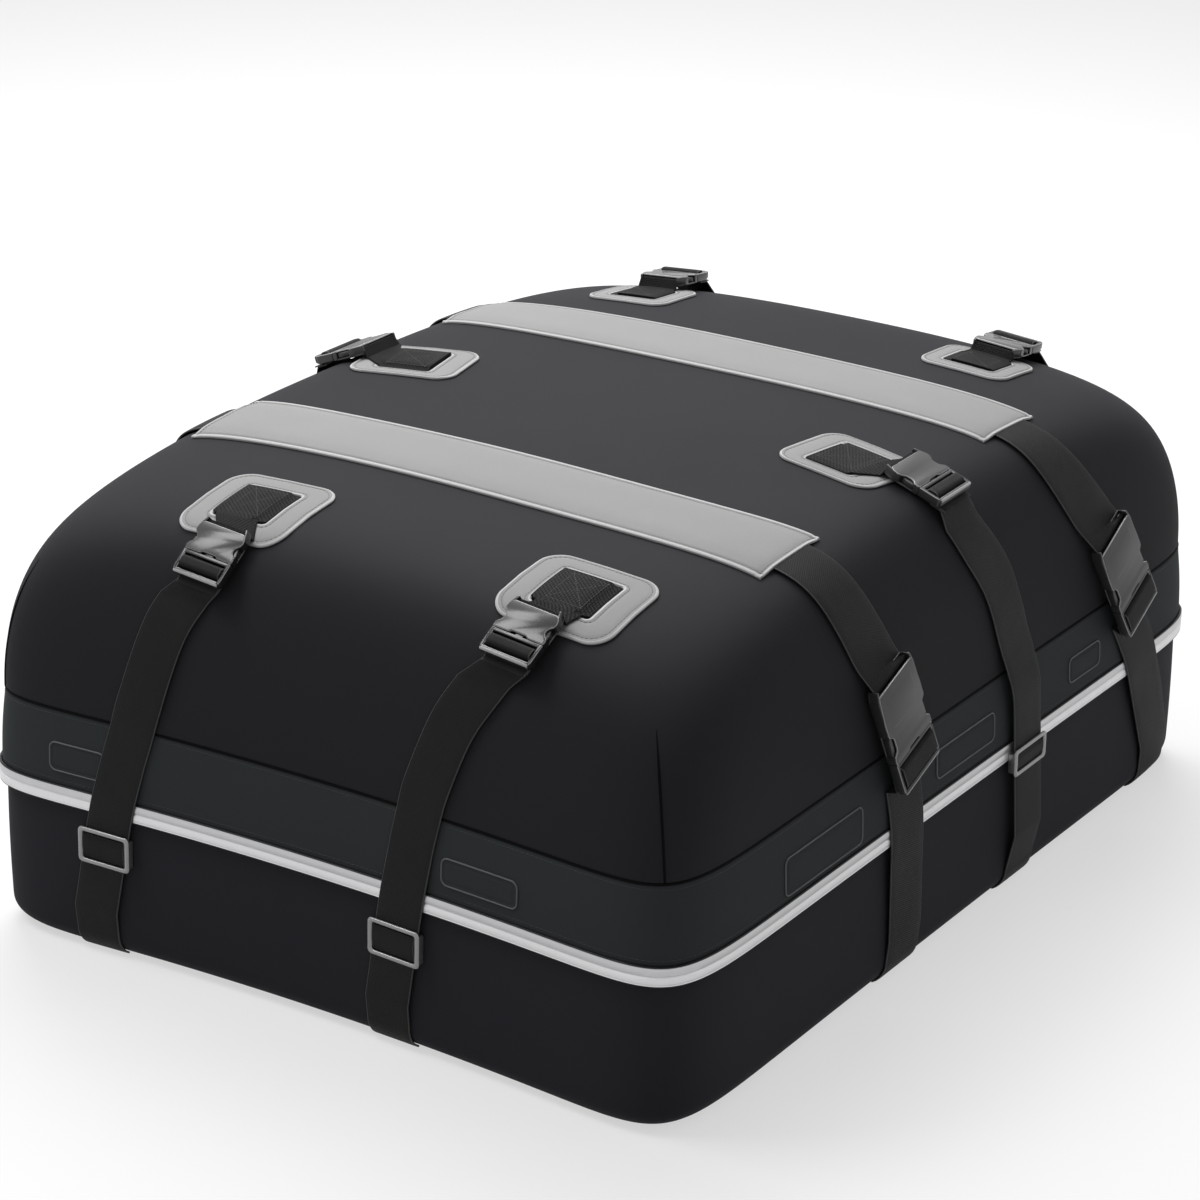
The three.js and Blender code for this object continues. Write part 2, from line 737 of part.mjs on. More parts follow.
// Housing: flat shell with a pocket and bar for webbing at the rear and a mouth for the prongs
function makeHousing(name, strap) {
  const { buckle, web, frame } = strap;
  const half = web / 2 + buckleRim;
  const top = buckle.height - plateThickness;
  const inside = half - plateThickness;
  const slot = web / 2 + slotSlack;
  const shape = new THREE.Shape();
  shape.moveTo(-half, buckle.housing);
  shape.lineTo(-half, buckleCorner);
  shape.absarc(buckleCorner - half, buckleCorner, buckleCorner, Math.PI, 1.5 * Math.PI);
  shape.absarc(half - buckleCorner, buckleCorner, buckleCorner, -rightAngle, 0);
  shape.lineTo(half, buckle.housing);
  const blank = new THREE.ExtrudeGeometry(shape, {
    depth: buckle.height,
    bevelEnabled: false,
    curveSegments: 3,
  });
  const bar = block(
    [-slot - 1, barInset, barLow],
    [slot + 1, barInset + barWidth, barLow + barThickness],
  );
  const mouth = buckle.housing - buckle.prong - hardGap * 3;
  const windowStart = mouth + buckle.prong * 0.15;
  const windowEnd = mouth + buckle.prong * 0.65;
  const solid = toSolid(blank)
    .subtract(block([-slot, -1, -1], [slot, pocketDepth, top]))
    .subtract(block([-inside, mouth, floorThickness], [inside, buckle.housing + 1, top]))
    .subtract(block([-half - 1, windowStart, floorThickness], [half + 1, windowEnd, top]))
    .add(bar);
  addPiece(name, fromSolid(solid), finishes.plastic, frame);
}

// Latch: two prongs and a tongue on a ladder with two slots
function makeLatch(name, strap) {
  const { buckle, web, frame } = strap;
  const half = web / 2 + buckleRim;
  const start = buckle.housing + hardGap;
  const end = start + buckle.ladder;
  const tip = buckle.housing - buckle.prong;
  const outer = half - plateThickness - hardGap;
  const inner = outer - prongWidth;
  const tongue = tongueWidth / 2;
  const shape = new THREE.Shape();
  const outlinePoints = [
    [half, start], [outer, start], [outer, tip + prongTaper], [outer - prongTaper, tip],
    [inner, tip], [inner, start], [tongue, start], [tongue, tip + prongTaper],
    [-tongue, tip + prongTaper], [-tongue, start], [-inner, start], [-inner, tip],
    [prongTaper - outer, tip], [-outer, tip + prongTaper], [-outer, start], [-half, start],
  ];
  outlinePoints.forEach(([x, y], i) => (i ? shape.lineTo(x, y) : shape.moveTo(x, y)));
  shape.lineTo(-half, end - buckleCorner);
  shape.absarc(buckleCorner - half, end - buckleCorner, buckleCorner, Math.PI, rightAngle, true);
  shape.absarc(half - buckleCorner, end - buckleCorner, buckleCorner, rightAngle, 0, true);
  const slotHalf = web / 2 + hardGap * 2;
  for (const low of [start + ladderFrontBar, end - ladderEndBar - ladderSlot]) {
    const hole = new THREE.Path();
    hole.moveTo(-slotHalf, low);
    hole.lineTo(slotHalf, low);
    hole.lineTo(slotHalf, low + ladderSlot);
    hole.lineTo(-slotHalf, low + ladderSlot);
    shape.holes.push(hole);
  }
  const thickness = buckle.height - plateThickness - floorThickness - 2 * slideGap;
  const geometry = new THREE.ExtrudeGeometry(shape, {
    depth: thickness,
    bevelEnabled: false,
    curveSegments: 3,
  }).translate(0, 0, floorThickness + slideGap);
  addPiece(name, fromSolid(toSolid(geometry)), finishes.plastic, frame);
}

// Adjuster on the straight stretch of a strap: end bars in front, middle bar behind
function makeAdjuster(name, strap) {
  const { face, web, route, adjuster } = strap;
  const low = route[route.length - 1];
  const high = route[route.length - 2];
  const share = (high[0] - adjuster.height) / (high[0] - low[0]);
  const top = clothPoint(face, high[1], high[0], high[2]);
  const bottom = clothPoint(face, low[1], low[0], low[2]);
  const origin = top.clone().lerp(bottom, share);
  const along = bottom.clone().sub(top).normalize();
  const normal = bodyNormal(face, (low[1] + high[1]) / 2, 1, adjuster.height);
  const frame = strapFrame(origin, along, normal);
  const inner = web / 2 + hardGap * 3;
  const outer = inner + adjusterRail;
  const half = adjuster.length / 2;
  const back = -slideGap - adjusterThickness;
  const frontLow = webThickness + slideGap;
  const front = frontLow + adjusterThickness;
  let solid = block([-outer, -adjusterBar / 2, back], [outer, adjusterBar / 2, -slideGap]);
  for (const side of [-1, 1]) {
    const rail = [side * inner, side * outer].sort((a, b) => a - b);
    solid = solid.add(block([rail[0], -half, back], [rail[1], half, front]));
    const bar = [side * half, side * (half - adjusterBar)].sort((a, b) => a - b);
    solid = solid.add(block([-outer, bar[0], frontLow], [outer, bar[1], front]));
  }
  addPiece(name, fromSolid(solid), finishes.plastic, frame);
}

// Patches. The middle of each, in plan, is given in shares of half the body's width and length.
const frontPatch = { size: [116, 100], window: [58, 55], scale: 1, turn: 0 };
const sidePatch = { size: [111, 86], window: [54, 58], scale: 0.9, turn: 0 };
const backPatch = { size: [94, 80], window: [54, 44], scale: 0.8, turn: 0 };

// Straps. middle and slant place the buckle; a route is a list of [height, across, lift],
// and its last two places are a straight stretch. Places across a face and the buckle's reach
// out are shares of the body's half width or half length.
const clear = layerGap;
const overStrip = stripFace + layerGap;
const onFlap = layerGap * 2;
const sideStand = 9.9;
const footStand = 4.6;
const up = (share) => seamHeight + share * lidRise;
const aboveSeam = seamHeight + 10;
const belowSeam = seamHeight - 3;
const stripStart = stripTop + 0.5;
const stripEnd = stripBottom - 0.5;
const foot = baseRadius * 1.875;

// Route from the flap down over the strip to the foot of the wall
function downWall(seam, start, end, last) {
  return [[belowSeam, seam, onFlap], [stripStart, start, overStrip], [stripEnd, end, overStrip],
    [foot, last, footStand]];
}

const straps = {
  front_left: {
    face: 'front', web: endWeb, buckle: endBuckle,
    middle: { across: -0.346, reach: 0.8835 }, slant: -0.08,
    adjuster: { height: 110, length: endAdjuster },
    patch: { ...frontPatch, centre: [-0.3653, -0.754] },
    route: [[up(0.754), -0.36, clear], [up(0.517), -0.4373, clear], [aboveSeam, -0.516, clear],
      ...downWall(-0.5293, -0.576, -0.5893, -0.6453)],
  },
  front_right: {
    face: 'front', web: endWeb, buckle: endBuckle,
    middle: { across: 0.511, reach: 0.883 }, slant: -0.1,
    adjuster: { height: 106, length: endAdjuster },
    patch: { ...frontPatch, centre: [0.5333, -0.7601] },
    route: [[up(0.754), 0.485, clear], [up(0.438), 0.376, clear], [aboveSeam, 0.2973, clear],
      ...downWall(0.288, 0.2587, 0.248, 0.2027)],
  },
};

// The back end and both sides are symmetrical
for (const [side, sign] of [['right', 1], ['left', -1]]) {
  const across = sign * 0.5147;
  straps[`back_${side}`] = {
    face: 'back', web: endWeb, buckle: endBuckle,
    middle: { across, reach: 0.7883 }, slant: 0, adjuster: { height: 105, length: endAdjuster },
    patch: { ...backPatch, centre: [across, 0.6714] },
    route: [[up(0.783), across, clear], [up(0.438), sign * 0.5173, clear],
      [aboveSeam, sign * 0.52, clear],
      ...downWall(sign * 0.52, sign * 0.528, sign * 0.528, sign * 0.5387)],
  };
  straps[`${side}_front`] = {
    face: side, web: bandWeb, buckle: longBuckle,
    middle: { across: -0.2903, height: up(0.148) }, slant: 0.35,
    route: [[up(0.34), -0.3508, clear], [up(0.118), -0.2984, clear],
      ...downWall(-0.2641, -0.2399, -0.2379, -0.2218)],
  };
  straps[`${side}_middle`] = {
    face: side, web: sideWeb, buckle: sideBuckle,
    middle: { across: 0.0181, reach: 0.8347 }, slant: 0.02,
    adjuster: { height: 140, length: sideAdjuster },
    patch: { ...sidePatch, centre: [sign * 0.64, 0.002], turn: sign * -11 },
    route: [[up(0.823), 0.0202, clear], [up(0.709), 0.0444, clear], [up(0.463), 0.1129, clear],
      [up(0.153), 0.1613, onFlap], [stripHeight + 64, 0.1956, sideStand],
      [foot * 4 / 3, 0.2319, sideStand]],
  };
  straps[`${side}_back`] = {
    face: side, web: bandWeb, buckle: longBuckle,
    middle: { across: 0.5746, height: up(0.148) }, slant: 0.52,
    route: [[up(0.32), 0.504, clear], [up(0.094), 0.5766, clear],
      ...downWall(0.6109, 0.6915, 0.7097, 0.8024)],
  };
}
for (const strap of Object.values(straps)) {
  const span = faces[strap.face].along === 1 ? halfLength : halfWidth;
  const depth = faces[strap.face].along === 1 ? halfWidth : halfLength;
  strap.middle.across *= span;
  if (strap.middle.reach) strap.middle.reach *= depth;
  strap.route = strap.route.map(([height, across, lift]) => [height, across * span, lift]);
  if (strap.patch) {
    const [x, y] = strap.patch.centre;
    strap.patch.centre = [x * halfWidth, y * halfLength];
  }
  strap.frame = buckleFrame(strap);
}

// Reinforcement bands, by the middle of each
const bands = { front: -0.4224 * halfLength, back: 0.375 * halfLength };

makeTub();
makeLid();
makeFlap();
makeStrip();
makeZip();
makeSlider('zip_slider_front', -1);
makeSlider('zip_slider_back', 1);
for (const [end, y] of Object.entries(bands)) {
  makeBand(`grey_band_${end}`, y);
  makeBandWebbing(`band_webbing_${end}`, y, straps[`right_${end}`], straps[`left_${end}`]);
}
for (const [place, strap] of Object.entries(straps)) {
  if (strap.patch) {
    makePatch(`patch_${place}`, strap.patch);
    makeLoop(`patch_webbing_${place}`, strap);
    makeAdjuster(`strap_adjuster_${place}`, strap);
  }
  makeHousing(`buckle_housing_${place}`, strap);
  makeLatch(`buckle_latch_${place}`, strap);
  makeStrap(`strap_${place}`, strap);
}

export default bag;
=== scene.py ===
import bmesh
import bpy
import numpy as np
from mathutils import Matrix


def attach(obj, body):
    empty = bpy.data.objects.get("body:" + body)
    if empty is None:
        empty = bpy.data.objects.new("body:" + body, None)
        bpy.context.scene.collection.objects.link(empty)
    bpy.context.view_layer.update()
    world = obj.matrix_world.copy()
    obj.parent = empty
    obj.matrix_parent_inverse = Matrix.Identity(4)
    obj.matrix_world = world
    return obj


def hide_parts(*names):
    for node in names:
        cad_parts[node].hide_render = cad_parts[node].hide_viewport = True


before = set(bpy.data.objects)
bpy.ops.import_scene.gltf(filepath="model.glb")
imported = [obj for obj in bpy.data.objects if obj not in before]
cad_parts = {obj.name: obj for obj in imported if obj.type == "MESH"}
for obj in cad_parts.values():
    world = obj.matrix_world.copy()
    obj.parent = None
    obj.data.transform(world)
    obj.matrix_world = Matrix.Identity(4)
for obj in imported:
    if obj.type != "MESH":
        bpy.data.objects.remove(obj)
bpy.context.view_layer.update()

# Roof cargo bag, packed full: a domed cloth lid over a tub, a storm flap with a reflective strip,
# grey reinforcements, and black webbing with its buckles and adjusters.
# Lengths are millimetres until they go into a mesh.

MM = 0.001

# ---- the stuffed body ----

HALF_WIDTH = 375.0
HALF_LENGTH = 496.0
SEAM = 231.0
LID_RISE = 203.0
DOME_POWER = 16
LINED_CLOTH = 4.5
END_HOLLOW = 22.5
SIDE_HOLLOW = 3.2
BASE_RADIUS = 24.0
TUB_GROW = 1.5
STRIP_HEIGHT = 151.0
FLAP_BULGE = 5.0
FLAP_PUFF = 0.9
FLAP_CLOTH = 1.8
# Webbing: its thickness, its stand off the cloth, and off the wall where it passes the strip.
WEB = 2.0
LAYER = 0.8
OVER_STRIP = 7.1


def squareness(level):
    """Power of the outline: 2 + 11.3 times the level to the power 12."""
    return 2 + 11.3 * level ** 12


def swell(x, y):
    """Broad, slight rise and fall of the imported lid: three crossed waves over its plan."""
    wave = np.sin(x / 118 + 0.7) * np.sin(y / 147 - 0.4)
    return 1.3 * wave + 0.7 * np.sin(x / 71 - y / 93) + 0.5 * np.sin(y / 61 + x / 210)


def outline(angle, level, grow):
    """Superellipse |u|^p + |v|^p = 1 at a level, its ends and sides pulled in towards their middles."""
    cosine = np.cos(angle)
    sine = np.sin(angle)
    power = squareness(level)
    k = (np.abs(cosine) ** power + np.abs(sine) ** power) ** (-1 / power)
    u = cosine * k
    v = sine * k
    x = level * u * (HALF_WIDTH + grow - SIDE_HOLLOW * (1 - v * v))
    y = level * v * (HALF_LENGTH + grow - END_HOLLOW * (1 - u * u))
    return x, y


def lid_height(level, x, y, sink=0.0):
    """Seam height plus the square root of 1 - level^16, times the rise less a parabolic crown."""
    dome = np.sqrt(np.maximum(0, 1 - level ** DOME_POWER))
    crown = 12 * (x / HALF_WIDTH) ** 2 + 16 * (y / HALF_LENGTH) ** 2
    return SEAM + dome * (LID_RISE - sink - crown) + swell(x, y) * dome ** 4


def bisect(is_high, low, high, shape, steps=32):
    """Halves each interval of an array until it closes on the place where is_high turns true."""
    a = np.full(shape, float(low))
    b = np.full(shape, float(high))
    for _ in range(steps):
        middle = (a + b) / 2
        above = is_high(middle)
        b = np.where(above, middle, b)
        a = np.where(above, a, middle)
    return (a + b) / 2


# For each face: the mirror that puts it in place, the angle where it starts, the axis along it.
FACES = {
    "right": (np.array([1.0, 1, 1]), -np.pi / 2, 1),
    "left": (np.array([-1.0, 1, 1]), -np.pi / 2, 1),
    "front": (np.array([1.0, 1, 1]), -np.pi, 0),
    "back": (np.array([1.0, -1, 1]), -np.pi, 0),
}


def body_point(face, across, level, grow, height=None):
    """Point of a face at a distance across it, on the outline of a level; lid height if none is given."""
    mirror, start, along = FACES[face]
    across, level, grow = np.broadcast_arrays(across, level, grow)
    angle = bisect(lambda t: outline(t, level, grow)[along] > across, start, start + np.pi, across.shape)
    x, y = outline(angle, level, grow)
    z = lid_height(level, x, y) if height is None else np.broadcast_to(height, x.shape)
    return np.stack([x, y, z], -1) * mirror


def unit(vectors):
    """Vectors at length one."""
    return vectors / np.maximum(1e-9, np.linalg.norm(vectors, axis=-1, keepdims=True))


def body_normal(face, across, level):
    """Normal of the lid: the cross product of its slopes across and down, turned outwards."""
    near = np.minimum(level, 0.9995)
    side = body_point(face, across + 1, near, 0) - body_point(face, across - 1, near, 0)
    slope = body_point(face, across, near + 0.0004, 0) - body_point(face, across, near - 0.0004, 0)
    normal = unit(np.cross(side, slope))
    point = body_point(face, across, near, 0)
    outward = point / [HALF_WIDTH, HALF_LENGTH, 1] * [1, 1, 0] + [0, 0, 0.4]
    return normal * np.where((normal * outward).sum(-1, keepdims=True) < 0, -1, 1)


def level_at_height(face, across, height):
    """Level where the lid's face is at a height, found by halving."""
    return bisect(lambda q: body_point(face, across, q, 0)[..., 2] < height, 0.3, 1, np.shape(across), 26)


def cloth_point(face, across, height, lift):
    """Point above the cloth: out along the normal on the lid, out along the plan on the wall."""
    across, height, lift = np.broadcast_arrays(*(np.asarray(v, float) for v in (across, height, lift)))
    wall = body_point(face, across, 1.0, lift, height)
    level = level_at_height(face, across, np.maximum(height, SEAM))
    lid = body_point(face, across, level, 0) + body_normal(face, across, level) * lift[..., None]
    return np.where((height <= SEAM)[..., None], wall, lid)


def plan_level(x, y):
    """Level of the outline that passes over a place in plan, found by halving."""
    def holds(level):
        u = x / (level * HALF_WIDTH)
        v = y / (level * HALF_LENGTH)
        for _ in range(4):
            side = SIDE_HOLLOW * (1 - np.minimum(1, v * v))
            end = END_HOLLOW * (1 - np.minimum(1, u * u))
            u = x / (level * (HALF_WIDTH - side))
            v = y / (level * (HALF_LENGTH - end))
        power = squareness(level)
        return np.abs(u) ** power + np.abs(v) ** power < 1
    return bisect(holds, 0.02, 1, np.shape(x), 26)


def top_height(x, y):
    """Height of the lid over a place in plan."""
    return lid_height(plan_level(x, y), x, y)


def top_point(x, y, lift):
    """Point above the lid by its place in plan, raised along the lid's normal."""
    x, y, lift = np.broadcast_arrays(*(np.asarray(v, float) for v in (x, y, lift)))
    slope_x = (top_height(x + 1, y) - top_height(x - 1, y)) / 2
    slope_y = (top_height(x, y + 1) - top_height(x, y - 1)) / 2
    normal = unit(np.stack([-slope_x, -slope_y, np.ones_like(x)], -1))
    return np.stack([x, y, top_height(x, y)], -1) + normal * lift[..., None]


def flap_grow(height):
    """Lean of the flap: a straight line from the seam out to its bulge at the strip."""
    return FLAP_BULGE * np.minimum(1, (SEAM - height) / (SEAM - STRIP_HEIGHT))


def flap_puff(height):
    """Fullness of the flap: half a wave over its height."""
    return FLAP_PUFF * np.sin(np.pi * (height - 160) / 70)


def face_span(face):
    """Half of the bag's size along a face."""
    return (HALF_WIDTH, HALF_LENGTH)[FACES[face][2]]


def raised(plan, height):
    """Points of a plan with a height added."""
    return np.concatenate([plan, np.full((len(plan), 1), height)], 1)


# ---- meshes ----

def grid(points, wrap_rows=False, wrap_columns=False, uv=None):
    """Quads over rows and columns of points, with a texture corner for each where uv is given."""
    rows, columns = points.shape[:2]
    r = np.arange(rows if wrap_rows else rows - 1)[:, None]
    c = np.arange(columns if wrap_columns else columns - 1)[None, :]
    steps = ((0, 0), (1, 0), (1, 1), (0, 1))
    quads = np.stack([((r + i) % rows) * columns + (c + j) % columns for i, j in steps], -1)
    corners = None
    if uv is not None:
        corners = np.stack([uv[r + i, c + j] for i, j in steps], -2).reshape(-1, 4, 2)
    return points.reshape(-1, 3), quads.reshape(-1, 4), corners


class Body:
    """Points and faces gathered into one mesh."""

    def __init__(self):
        self.points = []
        self.faces = []
        self.corners = []
        self.finish = []
        self.count = 0

    def add(self, points, faces, corners=None, finish=None):
        """Adds points and faces of one size, with their texture corners and finishes."""
        faces = np.asarray(faces) + self.count
        self.finish += [0] * len(faces) if finish is None else list(np.ravel(finish))
        self.points.append(np.asarray(points, float).reshape(-1, 3))
        self.faces.extend(faces.tolist())
        size = faces.shape[0] * faces.shape[1]
        self.corners.append(np.zeros((size, 2)) if corners is None else corners.reshape(-1, 2))
        self.count += len(self.points[-1])
        return self

    def take(self, other):
        """Adds another body's points and faces."""
        self.points += other.points
        self.faces += [[i + self.count for i in face] for face in other.faces]
        self.corners += other.corners
        self.finish += other.finish
        self.count += other.count

    def sweep(self, sections, uv=None, finish=None):
        """Closed sections carried along a path, with a flat cap at each end."""
        rows, columns = sections.shape[:2]
        if finish is not None:
            finish = np.broadcast_to(finish, (rows - 1, columns))
        self.add(*grid(sections, False, True, uv), finish)
        first = self.count - rows * columns
        for start in (first, self.count - columns):
            self.faces.append(list(range(start, start + columns)))
            self.finish.append(0)
            self.corners.append(np.zeros((columns, 2)))
        return self


def show(name, data):
    """New object in the scene."""
    piece = bpy.data.objects.new(name, data)
    bpy.context.scene.collection.objects.link(piece)
    return piece


def make(name, body, finishes, rides, replaces=(), sharp=40, cloth_uv=True):
    """One piece from a Body: merged, faces outwards, smooth but for its sharp edges."""
    mesh = bpy.data.meshes.new(name)
    mesh.from_pydata((np.concatenate(body.points) * MM).tolist(), [], body.faces)
    layer = mesh.uv_layers.new(name="UVMap")
    layer.data.foreach_set("uv", (np.concatenate(body.corners) * MM).ravel())
    mesh.polygons.foreach_set("material_index", np.array(body.finish, np.int32))
    solid = bmesh.new()
    solid.from_mesh(mesh)
    bmesh.ops.remove_doubles(solid, verts=solid.verts, dist=2e-6)
    bmesh.ops.recalc_face_normals(solid, faces=solid.faces)
    solid.to_mesh(mesh)
    solid.free()
    if cloth_uv:
        flat_uv(mesh)
    mesh.shade_smooth()
    mesh.set_sharp_from_angle(angle=np.radians(sharp))
    piece = show(name, mesh)
    for finish in finishes:
        mesh.materials.append(finish)
    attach(piece, rides)
    if replaces:
        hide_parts(*replaces)
    return piece


def flat_uv(mesh):
    """Texture corners in metres, laid flat from the side that each face looks to most."""
    count = len(mesh.polygons)
    normals = np.zeros(count * 3)
    mesh.polygons.foreach_get("normal", normals)
    sizes = np.zeros(count, int)
    mesh.polygons.foreach_get("loop_total", sizes)
    corner = np.zeros(len(mesh.loops), int)
    mesh.loops.foreach_get("vertex_index", corner)
    place = np.zeros(len(mesh.vertices) * 3)
    mesh.vertices.foreach_get("co", place)
    place = place.reshape(-1, 3)[corner]
    side = np.repeat(np.abs(normals.reshape(-1, 3)).argmax(1), sizes)
    u = np.where(side == 0, place[:, 1], place[:, 0])
    v = np.where(side == 2, place[:, 1], place[:, 2])
    mesh.uv_layers[0].data.foreach_set("uv", np.stack([u, v], -1).ravel())


def corner_angles(steps):
    """Angles round the outline, each quarter crowded towards its corner by the power 1.6."""
    along = 2 * np.arange(steps) / steps - 1
    pull = np.sign(along) * np.abs(along) ** 1.6
    quarters = np.arange(4)[:, None]
    return ((quarters + (1 + pull) / 2) * np.pi / 2).ravel()


def smooth(values, width):
    """Running mean of rows, the ends turned about themselves, that rounds a route's knees."""
    half = width // 2
    before = 2 * values[:1] - values[half:0:-1]
    after = 2 * values[-1:] - values[-2:-half - 2:-1]
    padded = np.concatenate([before, values, after])
    total = np.cumsum(np.concatenate([np.zeros((1,) + values.shape[1:]), padded]), 0)
    return (total[2 * half + 1:] - total[:-2 * half - 1]) / (2 * half + 1)


def lengths(points):
    """Distance along a row of points."""
    steps = np.linalg.norm(np.diff(points, axis=0), axis=-1)
    return np.concatenate([[0], np.cumsum(steps)])


def resample(points, pitch):
    """Points at even steps of about the pitch along a path."""
    run = lengths(points)
    at = np.linspace(0, run[-1], max(2, int(run[-1] / pitch) + 1))
    return np.stack([np.interp(at, run, points[:, i]) for i in range(points.shape[1])], -1)


EDGE_TURNS = np.radians([40, 90, 140])


def web_sections(over, under):
    """Sections of webbing: top columns, a half round edge, bottom columns, the other edge."""
    side = unit(over[:, -1] - over[:, 0])

    def edge(top, bottom, out):
        middle = (top + bottom) / 2
        half = (top - bottom) / 2
        reach = np.linalg.norm(half, axis=-1, keepdims=True)
        return np.stack([middle + half * np.cos(t) + out * reach * np.sin(t) for t in EDGE_TURNS], 1)

    return np.concatenate([over, edge(over[:, -1], under[:, -1], side),
                           under[:, ::-1], edge(under[:, 0], over[:, 0], -side)], 1)


def web_uv(sections):
    """Texture of webbing: across it by the section's own length, along it by the path's."""
    closed = np.concatenate([sections, sections[:, :1]], 1)
    across = lengths(closed[len(closed) // 2])
    along = lengths(sections.mean(1))
    u, v = np.meshgrid(across, along)
    return np.stack([u, v], -1)


def add_web(body, over, under):
    """Webbing whose rounded edges take the second finish, a lighter grey: a painted highlight along its
    edges.
    """
    sections = web_sections(over, under)
    width, count = over.shape[1], sections.shape[1]
    column = np.arange(count)
    turns = len(EDGE_TURNS)
    highlit_edge = ((column >= width - 1) & (column < width + turns)) | (column >= count - 1 - turns)
    return body.sweep(sections, web_uv(sections), highlit_edge.astype(int)[None])


def add_stitches(body, path, normals, pitch=4.2, length=3.0, radius=0.42):
    """Short thread grains at even steps along a path: each a six-sided spindle on the cloth."""
    sides = 6
    both = resample(np.concatenate([path, normals], 1), pitch)
    centre, normal = both[:, :3], unit(both[:, 3:])
    along = unit(np.gradient(centre, axis=0))
    side = unit(np.cross(normal, along))
    stations = np.array([-0.5, -0.32, 0, 0.32, 0.5]) * length
    girth = np.array([0.25, 0.9, 1.0, 0.9, 0.25]) * radius
    turn = np.linspace(0, 2 * np.pi, sides, endpoint=False)
    points = (centre[:, None, None]
              + along[:, None, None] * stations[None, :, None, None]
              + side[:, None, None] * (girth[:, None] * np.cos(turn))[None, ..., None]
              + normal[:, None, None] * (girth[:, None] * np.sin(turn))[None, ..., None])
    one, quads, _ = grid(points[0], False, True)
    offsets = np.arange(len(centre))[:, None, None] * len(one)
    first = body.count
    body.add(points, (quads[None] + offsets).reshape(-1, 4))
    caps = first + np.array([[0], [len(one) - sides]]) + np.arange(sides) + offsets
    body.faces.extend(caps.reshape(-1, sides).tolist())
    body.finish += [0] * (caps.size // sides)
    body.corners.append(np.zeros((caps.size, 2)))


def stitch_lid(body, x, y, lift, pitch, length, radius=0.42):
    """Stitches along a line given in plan, laid on the lid at a lift."""
    path = top_point(x, y, lift)
    add_stitches(body, path, top_point(x, y, lift + 1) - path, pitch, length, radius)


# ---- materials ----

def group(name, inputs, outputs):
    """Empty node group with its sockets, and its input and output nodes."""
    tree = bpy.data.node_groups.new(name, "ShaderNodeTree")
    for label, kind, value in inputs:
        socket = tree.interface.new_socket(name=label, in_out="INPUT", socket_type=kind)
        if value is not None:
            socket.default_value = value
    for label, kind in outputs:
        tree.interface.new_socket(name=label, in_out="OUTPUT", socket_type=kind)
    return tree, tree.nodes.new("NodeGroupInput"), tree.nodes.new("NodeGroupOutput")


def link(tree, source, target):
    tree.links.new(source, target)


def settle(node, **values):
    """Puts constants on a node's own sockets."""
    for label, value in values.items():
        node.inputs[label.replace("_", " ")].default_value = value
    return node


def calc(tree, operation, a, b=None, clamp=False):
    """Math node on sockets or plain numbers."""
    node = tree.nodes.new("ShaderNodeMath")
    node.operation = operation
    node.use_clamp = clamp
    for socket, value in zip(node.inputs, (a, b)):
        if value is None:
            continue
        if isinstance(value, (int, float)):
            socket.default_value = value
        else:
            link(tree, value, socket)
    return node.outputs[0]


def noise(tree, vector, scale, detail=3.0):
    node = settle(tree.nodes.new("ShaderNodeTexNoise"), Scale=scale, Detail=detail, Roughness=0.55)
    link(tree, vector, node.inputs["Vector"])
    return node.outputs["Fac"]


def ramp(tree, source, low, high, to_low, to_high):
    """Maps a value from one range to another, held at the ends."""
    node = tree.nodes.new("ShaderNodeMapRange")
    settle(node, From_Min=low, From_Max=high, To_Min=to_low, To_Max=to_high)
    link(tree, source, node.inputs["Value"])
    return node.outputs["Result"]


def mix(tree, factor, first, second):
    """Turns one colour into another by a factor; a colour is a socket or three numbers."""
    node = tree.nodes.new("ShaderNodeMix")
    node.data_type = "RGBA"
    link(tree, factor, node.inputs["Factor"])
    for label, color in (("A", first), ("B", second)):
        if isinstance(color, tuple):
            node.inputs[label].default_value = (*color, 1)
        else:
            link(tree, color, node.inputs[label])
    return node.outputs["Result"]


def weave_group():
    """Plain weave: two crossed rows of round threads, the upper one chosen by a checker."""
    tree, start, end = group("weave", [
        ("Vector", "NodeSocketVector", None), ("Threads Across", "NodeSocketFloat", 900.0),
        ("Threads Along", "NodeSocketFloat", 900.0), ("Unevenness", "NodeSocketFloat", 0.3)],
        [("Height", "NodeSocketFloat"), ("Gap", "NodeSocketFloat")])
    split = tree.nodes.new("ShaderNodeSeparateXYZ")
    link(tree, start.outputs["Vector"], split.inputs[0])

    def threads(place, count):
        """Which thread a place lies on, and that thread's round height."""
        at = calc(tree, "MULTIPLY", place, start.outputs[count])
        wave = calc(tree, "SINE", calc(tree, "MULTIPLY", at, np.pi))
        return calc(tree, "FLOOR", at), calc(tree, "ABSOLUTE", wave)

    column, warp = threads(split.outputs[0], "Threads Across")
    row, weft = threads(split.outputs[1], "Threads Along")
    odd = calc(tree, "ABSOLUTE", calc(tree, "MODULO", calc(tree, "ADD", column, row), 2.0))
    even = calc(tree, "SUBTRACT", 1.0, odd)
    over = calc(tree, "ADD", calc(tree, "MULTIPLY", warp, odd), calc(tree, "MULTIPLY", weft, even))
    under = calc(tree, "MULTIPLY", calc(tree, "MULTIPLY", warp, weft), 0.5)
    height = calc(tree, "MAXIMUM", over, under)
    uneven = calc(tree, "MULTIPLY", noise(tree, start.outputs["Vector"], 700, 2), start.outputs["Unevenness"])
    link(tree, calc(tree, "ADD", height, uneven), end.inputs["Height"])
    # Gap: where the threads dip between each other, darkened in the cloth as painted shade.
    link(tree, ramp(tree, height, 0.15, 0.6, 1, 0), end.inputs["Gap"])
    return tree


